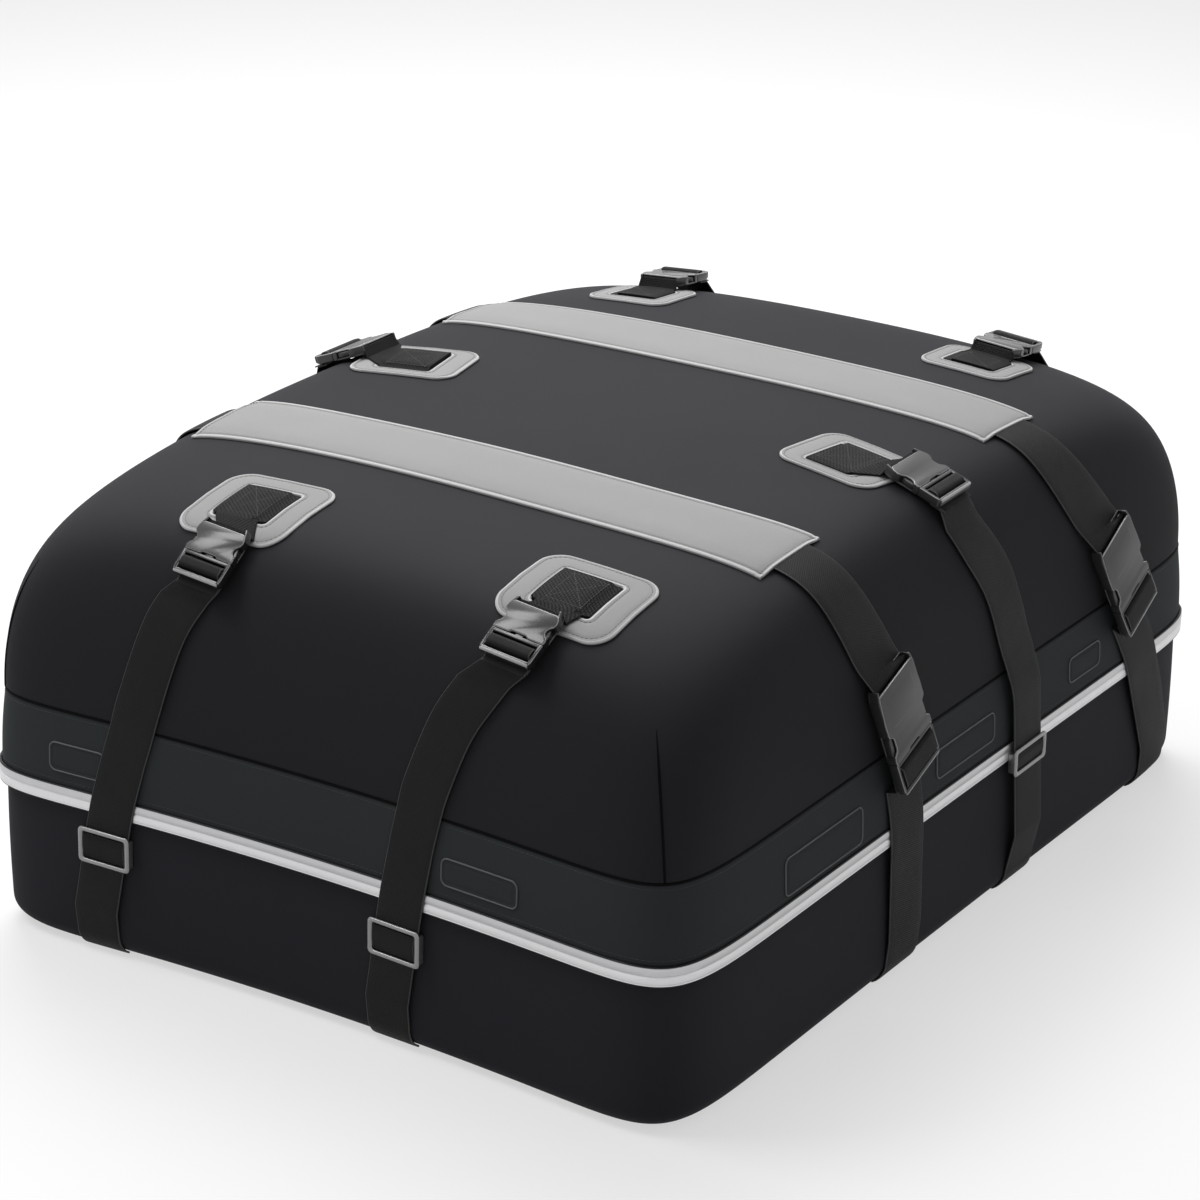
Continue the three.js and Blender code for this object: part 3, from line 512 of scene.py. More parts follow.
def tint_group():
    """Soft uneven tint: two sizes of noise around one, for colour and for gloss."""
    tree, start, end = group("uneven_tint", [
        ("Color", "NodeSocketColor", (0.1, 0.1, 0.1, 1)), ("Amount", "NodeSocketFloat", 0.12),
        ("Scale", "NodeSocketFloat", 14.0), ("Roughness", "NodeSocketFloat", 0.5)],
        [("Color", "NodeSocketColor"), ("Roughness", "NodeSocketFloat")])
    place = tree.nodes.new("ShaderNodeTexCoord").outputs["Object"]
    broad = settle(tree.nodes.new("ShaderNodeTexNoise"), Detail=4.0)
    link(tree, place, broad.inputs["Vector"])
    link(tree, start.outputs["Scale"], broad.inputs["Scale"])
    cloud = calc(tree, "ADD", calc(tree, "MULTIPLY", broad.outputs["Fac"], 0.65),
                 calc(tree, "MULTIPLY", noise(tree, place, 420, 2), 0.35))
    shift = calc(tree, "MULTIPLY", calc(tree, "SUBTRACT", cloud, 0.5), start.outputs["Amount"])
    tint = tree.nodes.new("ShaderNodeVectorMath")
    tint.operation = "SCALE"
    link(tree, start.outputs["Color"], tint.inputs[0])
    link(tree, calc(tree, "ADD", calc(tree, "MULTIPLY", shift, 2.0), 1.0), tint.inputs["Scale"])
    link(tree, tint.outputs[0], end.inputs["Color"])
    link(tree, calc(tree, "ADD", start.outputs["Roughness"], shift, True), end.inputs["Roughness"])
    return tree


WEAVE = weave_group()
TINT = tint_group()


def new_material(name):
    material = bpy.data.materials.new(name)
    material.use_nodes = True
    tree = material.node_tree
    return material, tree, tree.nodes["Principled BSDF"]


def use(tree, node_group, **values):
    """Places a node group with its own values."""
    node = tree.nodes.new("ShaderNodeGroup")
    node.node_tree = node_group
    return settle(node, **values)


def texture_map(tree):
    node = tree.nodes.new("ShaderNodeUVMap")
    node.uv_map = "UVMap"
    return node.outputs[0]


def bump(tree, height, distance, strength, normal=None):
    """Relief from a height, on top of another relief where one is given."""
    node = settle(tree.nodes.new("ShaderNodeBump"), Distance=distance, Strength=strength)
    link(tree, height, node.inputs["Height"])
    if normal is not None:
        link(tree, normal, node.inputs["Normal"])
    return node.outputs[0]


def woven(name, color, roughness, threads, depth, tint=0.12, gap=0.35, specular=0.5, wrinkle=0.0, folds=9,
          uneven=0.3, along=None):
    """Cloth: weave on the piece's texture map, uneven tint, faint creases, and the gaps between threads
    darkened as painted shade.
    """
    material, tree, shader = new_material(name)
    base = use(tree, TINT, Color=(*color, 1), Amount=tint, Roughness=roughness)
    cloth = use(tree, WEAVE, Threads_Across=threads, Threads_Along=along or threads, Unevenness=uneven)
    link(tree, texture_map(tree), cloth.inputs["Vector"])
    gap_shade = tuple(c * (1 - gap) for c in color)
    link(tree, mix(tree, cloth.outputs["Gap"], base.outputs["Color"], gap_shade), shader.inputs["Base Color"])
    link(tree, base.outputs["Roughness"], shader.inputs["Roughness"])
    settle(shader, Specular_IOR_Level=specular)
    normal = None
    if wrinkle:
        place = tree.nodes.new("ShaderNodeTexCoord").outputs["Object"]
        normal = bump(tree, noise(tree, place, folds, 3), wrinkle, 0.6)
    link(tree, bump(tree, cloth.outputs["Height"], depth, 0.6, normal), shader.inputs["Normal"])
    return material


def moulded(name, color, roughness, coat, metal=0.0):
    """Moulded plastic: fine grain and a clear gloss."""
    material, tree, shader = new_material(name)
    base = use(tree, TINT, Color=(*color, 1), Amount=0.1, Roughness=roughness, Scale=60.0)
    link(tree, base.outputs["Color"], shader.inputs["Base Color"])
    link(tree, base.outputs["Roughness"], shader.inputs["Roughness"])
    settle(shader, Metallic=metal, Coat_Weight=coat, Coat_Roughness=0.12)
    place = tree.nodes.new("ShaderNodeTexCoord").outputs["Object"]
    link(tree, bump(tree, noise(tree, place, 1600, 2), 0.00004, 0.5), shader.inputs["Normal"])
    return material


def strip_material():
    """Silver tape: a greyer upper half, a brighter lower half, a dark border and a fine grid of cells."""
    material, tree, shader = new_material("reflective_strip")
    place = tree.nodes.new("ShaderNodeTexCoord").outputs["Object"]
    split = tree.nodes.new("ShaderNodeSeparateXYZ")
    link(tree, place, split.inputs[0])
    height = split.outputs[2]
    upper = ramp(tree, height, (STRIP_HEIGHT - 0.4) * MM, (STRIP_HEIGHT + 0.4) * MM, 0, 1)
    off = calc(tree, "ABSOLUTE", calc(tree, "SUBTRACT", height, STRIP_HEIGHT * MM))
    border = ramp(tree, off, 0.0081, 0.0083, 0, 1)
    silver = mix(tree, upper, (0.72, 0.72, 0.73), (0.56, 0.56, 0.57))
    link(tree, mix(tree, border, silver, (0.012, 0.012, 0.013)), shader.inputs["Base Color"])
    link(tree, ramp(tree, noise(tree, place, 90), 0.3, 0.7, 0.32, 0.46), shader.inputs["Roughness"])
    settle(shader, Metallic=0.75)
    cells = use(tree, WEAVE, Threads_Across=1200.0, Threads_Along=1200.0, Unevenness=0.1)
    link(tree, texture_map(tree), cells.inputs["Vector"])
    link(tree, bump(tree, cells.outputs["Height"], 0.00008, 0.5), shader.inputs["Normal"])
    return material


BODY_CLOTH = {"roughness": 0.68, "threads": 1300.0, "depth": 0.00012, "specular": 0.06}
SHELL = woven("shell_cloth", (0.0295, 0.0297, 0.0335), wrinkle=0.0012, **BODY_CLOTH)
FLAP = woven("flap_cloth", (0.049, 0.0545, 0.058), wrinkle=0.0008, **BODY_CLOTH)
TUB = woven("tub_cloth", (0.0335, 0.0325, 0.039), wrinkle=0.0012, **BODY_CLOTH)
GREY = woven("grey_cloth", (0.295, 0.295, 0.295), 0.7, 1100.0, 0.0002, tint=0.22, gap=0.2)
# Lighter grey on the rolled edges of bands and patches: a painted highlight.
GREY_HIGHLIGHT = woven("grey_cloth_highlight", (0.5, 0.5, 0.5), 0.6, 1100.0, 0.0001, tint=0.1, gap=0.1)
WEBBING = woven("black_webbing", (0.012, 0.012, 0.0122), 0.62, 620.0, 0.0004, tint=0.3, gap=0.5,
                specular=0.14, wrinkle=0.0012, folds=45, along=1000.0)
# Lighter grey on the webbing's rounded edges: a painted highlight.
WEBBING_HIGHLIGHT = woven("webbing_painted_highlight", (0.075, 0.075, 0.072), 0.5, 900.0, 0.0003, tint=0.4, gap=0.6, specular=0.3)
TUFTED = woven("window_webbing", (0.0095, 0.0095, 0.0095), 0.65, 520.0, 0.0009, tint=0.5, gap=0.8,
               specular=0.1, uneven=1.4)
# Light grey tubes round the flap's pads: a painted highlight on their edges.
PAD_HIGHLIGHT = woven("pad_painted_highlight", (0.14, 0.145, 0.15), 0.5, 2000.0, 0.00005, specular=0.3)
THREAD_GREY = woven("grey_thread", (0.2, 0.2, 0.2), 0.6, 3000.0, 0.00005, gap=0.1)
THREAD_BLACK = woven("black_thread", (0.009, 0.009, 0.009), 0.55, 3000.0, 0.00005)
# Near-black cord in the seams: painted shade of the seam's groove and the corner seams.
SEAM_SHADE = woven("seam_shade_cord", (0.003, 0.003, 0.0035), 0.7, 2000.0, 0.0001, specular=0.05)
PLASTIC = moulded("buckle_plastic", (0.018, 0.018, 0.02), 0.24, 0.25)
# Light grey on the buckles' edges: a painted highlight where the edges catch the light.
BUCKLE_HIGHLIGHT = moulded("buckle_painted_highlight", (0.46, 0.46, 0.465), 0.3, 0.2)
MATTE = moulded("side_buckle_plastic", (0.03, 0.03, 0.032), 0.4, 0.0)
ADJUSTER = moulded("adjuster_plastic", (0.27, 0.27, 0.275), 0.32, 0.3, metal=0.55)
ZIP = moulded("zip_plastic", (0.011, 0.011, 0.012), 0.45, 0.1)
SLIDER = moulded("slider_paint", (0.018, 0.018, 0.02), 0.3, 0.3)
STRIP = strip_material()


# ---- lid, flap, strip and tub ----

ANGLES = corner_angles(84)


def ring(level, grow, height):
    """One closed row of the outline at a height."""
    x, y = outline(ANGLES, level, grow)
    return np.stack([x, y, np.full_like(x, height)], -1)


def dome(level, inset):
    """One closed row of the lid, set in for its inner face."""
    x, y = outline(ANGLES, level, -inset)
    return np.stack([x, y, lid_height(level, x, y, inset)], -1)


def shoulder_levels(steps, inner):
    """Levels at even turns round the shoulder, then even steps to the middle."""
    turn = np.radians(np.linspace(1.2, 84, steps))
    levels = np.cos(turn) ** (2 / DOME_POWER)
    return np.concatenate([levels, np.linspace(levels[-1], 0, inner + 1)[1:]])


def make_lid():
    """Outer dome from the middle to the shoulder, the groove of the seam, the skirt, then the inner dome."""
    rows = [dome(q, 0) for q in shoulder_levels(52, 26)[::-1]]
    rows += [ring(1.0, g, z) for g, z in ((0, 232.6), (-0.5, 231.9), (-1.7, 231.5), (-3.4, 231.3),
                                          (-3.4, 226), (-3.2, 203.4), (-6.6, 203.2), (-6.8, 230))]
    rows += [dome(q, LINED_CLOTH) for q in shoulder_levels(12, 5)]
    body = Body().add(*grid(np.stack(rows), False, True))
    return make("lid_cloth", body, [SHELL], "bag", ["lid"])


def make_flap():
    """Flap: its leaning, slightly full outer face, the top edge rolled in over the seam, then its back."""
    heights = np.linspace(160, 226, 12)
    profile = [(141.6, 4.7), *zip(heights, flap_grow(heights) + flap_puff(heights))]
    profile += [(229.0, 0.1), (229.9, -0.6), (230.3, -1.9), (229.9, -2.3)]
    profile += [(z, flap_grow(z) - FLAP_CLOTH) for z in (226, 205, 185, 165, 141.6)]
    rows = [ring(1.0, g, z) for z, g in profile]
    body = Body().add(*grid(np.stack(rows), True, True))
    make("flap_cloth", body, [FLAP], "bag", ["storm_flap"], sharp=60)


def make_strip():
    """Tape on the flap's lower edge: a raised border above and below and two low ridges, grooved between."""
    lower = [(-9.5, 5.2), (-9.5, 6.1), (-8.9, 6.75), (-8.1, 6.75), (-7.6, 6.4), (-7.1, 6.75), (-4.2, 7.0),
             (-1.2, 6.85), (-0.4, 6.2)]
    shape = lower + [(-z, g) for z, g in lower[::-1]]
    rows = np.stack([ring(1.0, g, STRIP_HEIGHT + z) for z, g in shape])
    body = Body().add(*grid(rows, True, True))
    make("reflective_tape", body, [STRIP], "bag", ["reflective_strip"])


def make_tub():
    """Wall with a slight belly, quarter round edge of 24 and flat base, then the inner face."""
    heights = np.array([141, 136, 128, 115, 100, 85, 70, 56, 44, 34, 26])
    belly = TUB_GROW + 0.7 * np.sin(np.pi * np.clip((heights - 20) / 125, 0, 1))
    turns = np.radians(np.linspace(6, 90, 12))
    edge = [(BASE_RADIUS * (1 - np.sin(t)), TUB_GROW - BASE_RADIUS * (1 - np.cos(t))) for t in turns]
    profile = [(184.8, -1.6), (160, 2.0), (146, 2.6)] + list(zip(heights, belly)) + edge
    rows = [ring(1.0, g, z) for z, g in profile]
    rows += [ring(q, TUB_GROW - BASE_RADIUS, 0.0) for q in (0.8, 0.5, 0.2, 0.0)]
    rows += [ring(q, TUB_GROW - BASE_RADIUS, LINED_CLOTH) for q in (0.0, 0.5)]
    inner = ((4.6, -24), (10, -10), (24, -3), (140, -3), (150, -6.7), (184.8, -6.7))
    rows += [ring(1.0, g, z) for z, g in inner]
    body = Body().add(*grid(np.stack(rows), True, True))
    return make("tub_cloth", body, [TUB], "bag", ["tub"])


def tube(path, radius, closed=False, sides=8, aside=(0.03, 0.02, 1.0)):
    """Round tube along a path, in a frame of its tangent and a direction aside."""
    along = unit(np.roll(path, -1, 0) - np.roll(path, 1, 0) if closed else np.gradient(path, axis=0))
    first = unit(np.cross(along, aside))
    second = np.cross(along, first)
    turn = np.linspace(0, 2 * np.pi, sides, endpoint=False)[:, None]
    return path[:, None] + radius * (first[:, None] * np.cos(turn) + second[:, None] * np.sin(turn))


def make_piping():
    """Thin near-black cord in the groove of the seam, and along the lid's four corner seams, thinner towards
    the top: painted shade of the seam lines.
    """
    body = Body()
    body.add(*grid(tube(ring(1.0, -0.5, 230.9), 1.45, True), True, True))
    turn = np.radians(np.linspace(0.6, 42, 48))
    level = np.cos(turn) ** (2 / DOME_POWER)
    x, y = outline(np.radians(np.linspace(45.7, 46.5, 48)), level, 0)
    path = np.stack([x, y, lid_height(level, x, y)], -1)
    taper = np.interp(path[:, 2], [320, 352], [1, 0.25])[:, None, None]
    for mirror in ((1, 1, 1), (-1, 1, 1), (-1, -1, 1), (1, -1, 1)):
        line = path * mirror
        body.sweep(line[:, None] + (tube(line, 1.15, sides=6, aside=(1, 0.01, 0)) - line[:, None]) * taper)
    make("seam_shade_cord", body, [SEAM_SHADE], "bag")


PAD_CORNER = 8
SIDE_PADS = [(-327, -193, 164, 202), (-62, 50, 172, 203), (196, 262, 174, 202)]
PADS = [("front", -289, -226, 172, 202), ("front", 133, 216, 172, 200), ("back", -330, -262, 172, 201),
        ("back", 262, 330, 172, 201)] + [(side, *pad) for side in ("right", "left") for pad in SIDE_PADS]


def make_pads():
    """Embossed pads: rounded rectangles that rise 1.5, ringed by a pressed line and a thin raised tube in
    light grey, a painted highlight along the pads' edges.
    """
    body = Body()
    highlight_lines = Body()
    for face, left, right, low, high in PADS:
        middle = np.array([(left + right) / 2, (low + high) / 2])
        half = np.array([(right - left) / 2, (high - low) / 2])
        u = np.linspace(-1, 1, int((right - left) / 1.6))
        share = np.stack(np.meshgrid(u, np.linspace(-1, 1, 28), indexing="ij"), -1)
        across, height = np.moveaxis(middle + share * half, -1, 0)
        inside = np.abs(share) * half - half + PAD_CORNER
        outside = np.hypot(*np.moveaxis(np.maximum(inside, 0), -1, 0)) + np.minimum(inside.max(-1), 0)
        depth = PAD_CORNER - outside
        rise = 1.5 * np.clip(depth / 2.2, 0, 1) ** 0.7 - 0.8 * np.exp(-((depth - 4.6) / 0.9) ** 2)
        lift = flap_grow(height) + flap_puff(height) - 0.6 + np.where(depth < 0.3, -0.8, rise)
        over = cloth_point(face, across, height, lift)
        under = cloth_point(face, across, height, flap_grow(height) - 1.4)
        body.sweep(np.concatenate([over, under[:, ::-1]], 1))
        across, height = (dense(rounded_rectangle(*(2 * half - 3.2), 6.5, 8), 3) + middle).T
        path = cloth_point(face, across, height, flap_grow(height) + flap_puff(height) + 0.7)
        aside = (0, 1, 0.01) if face in ("front", "back") else (1, 0, 0.01)
        highlight_lines.add(*grid(tube(path, 0.75, True, 6, aside), True, True))
    make("flap_pad_highlights", highlight_lines, [PAD_HIGHLIGHT], "bag")
    make("flap_pads", body, [FLAP], "bag", sharp=70)


def make_hem():
    """Stitch line along the flap's lower edge and one under the seam."""
    body = Body()
    for height, grow in ((164.5, flap_grow(164.5) + 0.25), (226.0, flap_grow(226.0) + 0.15)):
        path = ring(1.0, grow, height)
        path = np.concatenate([path, path[:1]])
        normal = unit(path * [1 / HALF_WIDTH ** 2, 1 / HALF_LENGTH ** 2, 0])
        add_stitches(body, path, normal, 5.0, 3.4, 0.35)
    make("flap_stitches", body, [THREAD_BLACK], "bag")


# ---- grey bands and patches ----

BAND_REACH = HALF_WIDTH * 0.8133
BANDS = {"front": -0.4224 * HALF_LENGTH, "back": 0.375 * HALF_LENGTH}
# Half of a band's section: distance from its middle line, lift above the lid.
BAND_COLUMNS = np.array([
    [-49.0, 0.9], [-49.0, 2.1], [-48.3, 2.9], [-47.0, 3.2], [-45.8, 3.0], [-44.0, 2.8], [-43.1, 1.9],
    [-42.2, 2.9], [-39.0, 3.4], [-34.0, 4.3], [-29.0, 5.0], [-20.0, 5.3], [-10.0, 5.4]])


def make_bands():
    """Band across the lid: a folded hem, a pressed stitch line and a low crown over the webbing; the hem and
    the rounded tips take a lighter grey, a painted highlight.
    """
    stitches = Body()
    columns = np.concatenate([BAND_COLUMNS, [[0, 5.3]], BAND_COLUMNS[::-1] * [-1, 1]])
    x = np.concatenate([[-1, -0.998, -0.992, -0.985, -0.981], np.linspace(-0.975, 0.975, 100),
                        [0.981, 0.985, 0.992, 0.998, 1]]) * BAND_REACH
    press = np.interp(BAND_REACH - np.abs(x), [0, 0.6, 2.4, 4.2, 5.5, 7.5], [1.5, 0.2, 0.0, 0.8, 0.4, 0.0])
    lift = np.maximum(0.9, columns[None, :, 1] - press[:, None])
    lower = columns[::-1, 0]
    low_lift = np.interp(np.abs(lower), [0, 29, 38, 49], [3.4, 3.4, 1.6, 0.4])
    count = len(columns)
    column = np.arange(2 * count)
    # Hem and tips: the rows that take the lighter grey, a painted highlight.
    hem = (column < 4) | ((column > count - 6) & (column < count))
    tip = np.abs(x[:-1] + x[1:]) / 2 > BAND_REACH - 1.8
    finish = (hem[None] | (tip[:, None] & (column < count)[None])).astype(int)
    run = np.linspace(-BAND_REACH + 5, BAND_REACH - 5, 120)
    cross = np.linspace(-44, 44, 24)
    cross_lift = np.interp(np.abs(cross), [0, 29, 34, 44], [4.9, 4.6, 3.9, 2.4])
    for end, y in BANDS.items():
        over = top_point(x[:, None], y + columns[None, :, 0], lift)
        under = top_point(x[:, None], y + lower[None], low_lift[None])
        body = Body().sweep(np.concatenate([over, under], 1), finish=finish)
        make(f"band_cloth_{end}", body, [GREY, GREY_HIGHLIGHT], "bag", [f"grey_band_{end}"])
        for shift in (-43.1, 43.1):
            stitch_lid(stitches, run, y + shift, 2.35, 4.4, 3.4, 0.5)
        for side in (-1, 1):
            stitch_lid(stitches, side * (BAND_REACH - 4.4), y + cross, cross_lift, 4.4, 3.2)
    make("band_stitches", stitches, [THREAD_GREY], "bag")


# For each patch: its middle as shares of the bag, size, window, corner radius and turn.
PATCHES = {
    "front_left": ((-0.3653, -0.754), (116, 100), (58, 55), 22.0, 0),
    "front_right": ((0.5333, -0.7601), (116, 100), (58, 55), 22.0, 0),
    "back_left": ((-0.5147, 0.6714), (94, 80), (54, 44), 17.6, 0),
    "back_right": ((0.5147, 0.6714), (94, 80), (54, 44), 17.6, 0),
    "right_middle": ((0.64, 0.002), (111, 86), (54, 58), 19.8, -11),
    "left_middle": ((-0.64, 0.002), (111, 86), (54, 58), 19.8, 11),
}


def rounded_rectangle(width, length, radius, steps=14):
    """Corners as quarter circles about the four corner centres, anticlockwise."""
    turns = np.linspace(0, np.pi / 2, steps)
    quarters = []
    for quarter, (sx, sy) in enumerate(((1, 1), (-1, 1), (-1, -1), (1, -1))):
        turn = turns + quarter * np.pi / 2
        x = sx * (width / 2 - radius) + radius * np.cos(turn)
        y = sy * (length / 2 - radius) + radius * np.sin(turn)
        quarters.append(np.stack([x, y], -1))
    return np.concatenate(quarters)


def turned(points, degrees):
    """Plan points turned about the middle, clockwise for a positive turn."""
    turn = np.radians(degrees)
    spin = np.array([[np.cos(turn), np.sin(turn)], [-np.sin(turn), np.cos(turn)]])
    return points @ spin


def dense(loop, steps):
    """Closed loop with each side split into even steps, the corner points kept."""
    share = np.linspace(0, 1, steps, endpoint=False)[:, None]
    after = np.roll(loop, -1, 0)
    return (loop[:, None] * (1 - share) + after[:, None] * share).reshape(-1, 2)


# Section of a patch from its window outwards: share of the way, lift above the lid.
RING_PROFILE = np.array([
    [0.0, 0.9], [0.0, 2.0], [0.03, 2.9], [0.09, 3.15], [0.15, 2.9], [0.18, 2.5], [0.21, 2.75], [0.34, 2.95],
    [0.5, 2.95], [0.66, 2.9], [0.79, 2.75], [0.82, 2.45], [0.85, 2.75], [0.92, 3.0], [0.97, 2.8], [1.0, 2.0],
    [1.0, 0.9]])


def make_patches():
    """Ring patch: its section rises to a rolled edge inside and out, with a pressed line by each; the rolled
    edges take a lighter grey, a painted highlight.
    """
    stitches = Body()
    for place, (centre, size, window, radius, turn) in PATCHES.items():
        middle = np.array(centre) * [HALF_WIDTH, HALF_LENGTH]
        loops = (rounded_rectangle(*window, 4.0), rounded_rectangle(*size, radius))
        inner, outer = (turned(dense(loop, 2), turn) + middle for loop in loops)

        def plan(share):
            return (inner + (outer - inner) * share).T

        over = [top_point(*plan(share), lift) for share, lift in RING_PROFILE]
        under = [top_point(*plan(share), 0.4) for share in (0.97, 0.5, 0.03)]
        rows = np.stack(over + under)
        row = np.arange(len(rows))
        # Rolled edges: the rows that take the lighter grey, a painted highlight.
        rolled = (row < 3) | ((row > len(over) - 5) & (row < len(over)))
        finish = np.repeat(rolled.astype(int), rows.shape[1])
        body = Body().add(*grid(rows, True, True), finish)
        make(f"patch_cloth_{place}", body, [GREY, GREY_HIGHLIGHT], "bag", [f"patch_{place}"])
        for share, lift in ((0.18, 2.75), (0.82, 2.7)):
            x, y = plan(share)
            stitch_lid(stitches, np.append(x, x[0]), np.append(y, y[0]), lift, 4.2, 3.1)
    make("patch_stitches", stitches, [THREAD_GREY], "bag")


# ---- straps ----

def up(share):
    """Height of a share of the lid's rise above the seam."""
    return SEAM + share * LID_RISE


CLEAR, ON_FLAP, SIDE_STAND, FOOT_STAND = LAYER, 2 * LAYER, 9.9, 4.6
FOOT = BASE_RADIUS * 1.875


def down_wall(seam, start, end, last):
    """Route of a strap from the seam over flap and strip to the foot of the tub."""
    return [(SEAM - 3, seam, ON_FLAP), (161, start, OVER_STRIP), (141, end, OVER_STRIP),
            (FOOT, last, FOOT_STAND)]


# Buckles: the housing's height and its stand above the cloth; how far its rear end is narrower, where its
# side notches start, end and how deep they bite; the lengths of housing, ladder and prongs; its tilt.
SHORT = {"height": 9.6, "seat": 3.0, "taper": 3.4, "notch": 1.5, "notch_end": 6.5, "bite": 5.2}
END_BUCKLE = {**SHORT, "housing": 34.0, "ladder": 23.0, "prong": 19.0, "flare": 0.1}
SIDE_BUCKLE = {**SHORT, "housing": 38.0, "ladder": 24.0, "prong": 22.0, "flare": 0.0}
LONG = {"height": 11.0, "seat": 3.0, "taper": 2.2, "notch": 3.0, "notch_end": 9.0, "bite": 6.5,
        "housing": 78.0, "ladder": 34.0, "prong": 32.0, "flare": 0.09}
LADDER_GAP = 0.4
# The ladder's middle bar: from its start and before its end.
BAR_AFTER, BAR_BEFORE = 7.4, 8.4
# The buckle beyond the webbing on each side.
WALL = 4.0
END_WEB, SIDE_WEB, BAND_WEB = 44.0, 50.0, 56.0
END_ADJUSTER, SIDE_ADJUSTER = 35.0, 27.0
# How much of an adjuster's heading is upright on the wall rather than along its strap.
LEVELLING = 0.9
# How far a strap lies above the lid's cloth, reached 30 above the seam.
SLACK = 1.3

# For each strap: face, webbing width, buckle, where its buckle lies across (a share of the face's half
# span) and out or up, the buckle's slant, the adjuster's height and length, and the route of the strap
# as [height, share across, lift].
STRAPS = {
    "front_left": ("front", END_WEB, END_BUCKLE, -0.346, ("reach", 0.8835), -0.08, (110, END_ADJUSTER),
                   [(up(0.754), -0.36, CLEAR), (up(0.517), -0.4373, CLEAR), (SEAM + 10, -0.516, CLEAR),
                    *down_wall(-0.5293, -0.576, -0.5893, -0.6453)]),
    "front_right": ("front", END_WEB, END_BUCKLE, 0.511, ("reach", 0.883), -0.1, (106, END_ADJUSTER),
                    [(up(0.754), 0.485, CLEAR), (up(0.438), 0.376, CLEAR), (SEAM + 10, 0.2973, CLEAR),
                     *down_wall(0.288, 0.2587, 0.248, 0.2027)]),
}
for side, sign in (("right", 1), ("left", -1)):
    STRAPS[f"back_{side}"] = (
        "back", END_WEB, END_BUCKLE, sign * 0.5147, ("reach", 0.7883), 0, (105, END_ADJUSTER),
        [(up(0.783), sign * 0.5147, CLEAR), (up(0.438), sign * 0.5173, CLEAR),
         (SEAM + 10, sign * 0.52, CLEAR), *down_wall(sign * 0.52, sign * 0.528, sign * 0.528, sign * 0.5387)])
    STRAPS[f"{side}_front"] = (
        side, BAND_WEB, LONG, -0.2903, ("height", up(0.148)), 0.35, None,
        [(up(0.34), -0.3508, CLEAR), (up(0.118), -0.2984, CLEAR),
         *down_wall(-0.2641, -0.2399, -0.2379, -0.2218)])
    STRAPS[f"{side}_middle"] = (
        side, SIDE_WEB, SIDE_BUCKLE, 0.0181, ("reach", 0.8347), 0.02, (140, SIDE_ADJUSTER),
        [(up(0.823), 0.0202, CLEAR), (up(0.709), 0.0444, CLEAR), (up(0.463), 0.1129, CLEAR),
         (up(0.153), 0.1613, ON_FLAP), (STRIP_HEIGHT + 64, 0.1956, SIDE_STAND),
         (FOOT * 4 / 3, 0.2319, SIDE_STAND)])
    STRAPS[f"{side}_back"] = (
        side, BAND_WEB, LONG, 0.5746, ("height", up(0.148)), 0.52, None,
        [(up(0.32), 0.504, CLEAR), (up(0.094), 0.5766, CLEAR), *down_wall(0.6109, 0.6915, 0.7097, 0.8024)])


def strap_basis(origin, along, normal):
    """Local frame: X across, Y along the strap, Z off the cloth."""
    z = unit(normal - along * (normal @ along))
    return np.stack([np.cross(along, z), along, z], 1), origin


def ladder_span(buckle):
    """Where a buckle's ladder starts and ends along its frame."""
    start = buckle["housing"] + LADDER_GAP
    return start, start + buckle["ladder"]


def buckle_basis(face, across, reach, slant, buckle):
    """Frame at the housing's rear edge, flat on the cloth under the buckle's middle."""
    along_axis = FACES[face][2]
    across = np.array(across)
    if reach[0] == "reach":
        span = (HALF_LENGTH, HALF_WIDTH)[along_axis]
        far = reach[1] * span
        out = 1 - along_axis
        level = bisect(lambda q: np.abs(body_point(face, across, q, 0)[..., out]) > far, 0.3, 1, ())
    else:
        level = level_at_height(face, across, reach[1])
    normal = body_normal(face, across, level)
    point = body_point(face, across, level, 0)
    sideways = np.eye(3)[along_axis]
    down = unit(np.cross(sideways, normal))
    down = -down if down[2] > 0 else down
    along = unit(down + sideways * slant)
    origin = point + normal * (buckle["seat"] + LAYER) - along * ladder_span(buckle)[1] / 2
    along = unit(along + normal * buckle["flare"])
    return strap_basis(origin, along, normal)


def place(points, basis):
    """Points of a local frame put on the bag."""
    axes, origin = basis
    return np.asarray(points, float) @ axes.T + origin


def strap_route(face, route):
    """Even steps of [height, across, lift] along a route, its knees rounded."""
    knots = np.array(route) * [1, face_span(face), 1]
    bends = cloth_point(face, knots[:, 1], knots[:, 0], 0)
    parts = [knots[:1]]
    for i in range(len(knots) - 1):
        steps = max(2, int(np.linalg.norm(bends[i + 1] - bends[i]) / 5))
        share = np.linspace(0, 1, steps + 1)[1:, None]
        parts.append(knots[i] * (1 - share) + knots[i + 1] * share)
    path = smooth(np.concatenate(parts), 5)
    path[:, 1:2] = smooth(path[:, 1:2], 11)
    return path


# Columns across webbing, as shares of its half width, and those that lie folded lower in a window.
COLUMNS = np.array([-1, -0.72, -0.64, -0.3, 0, 0.34, 0.7, 1])
FOLD = np.array([1.0, 1, 0, 0, 0, 0, 0, 0])


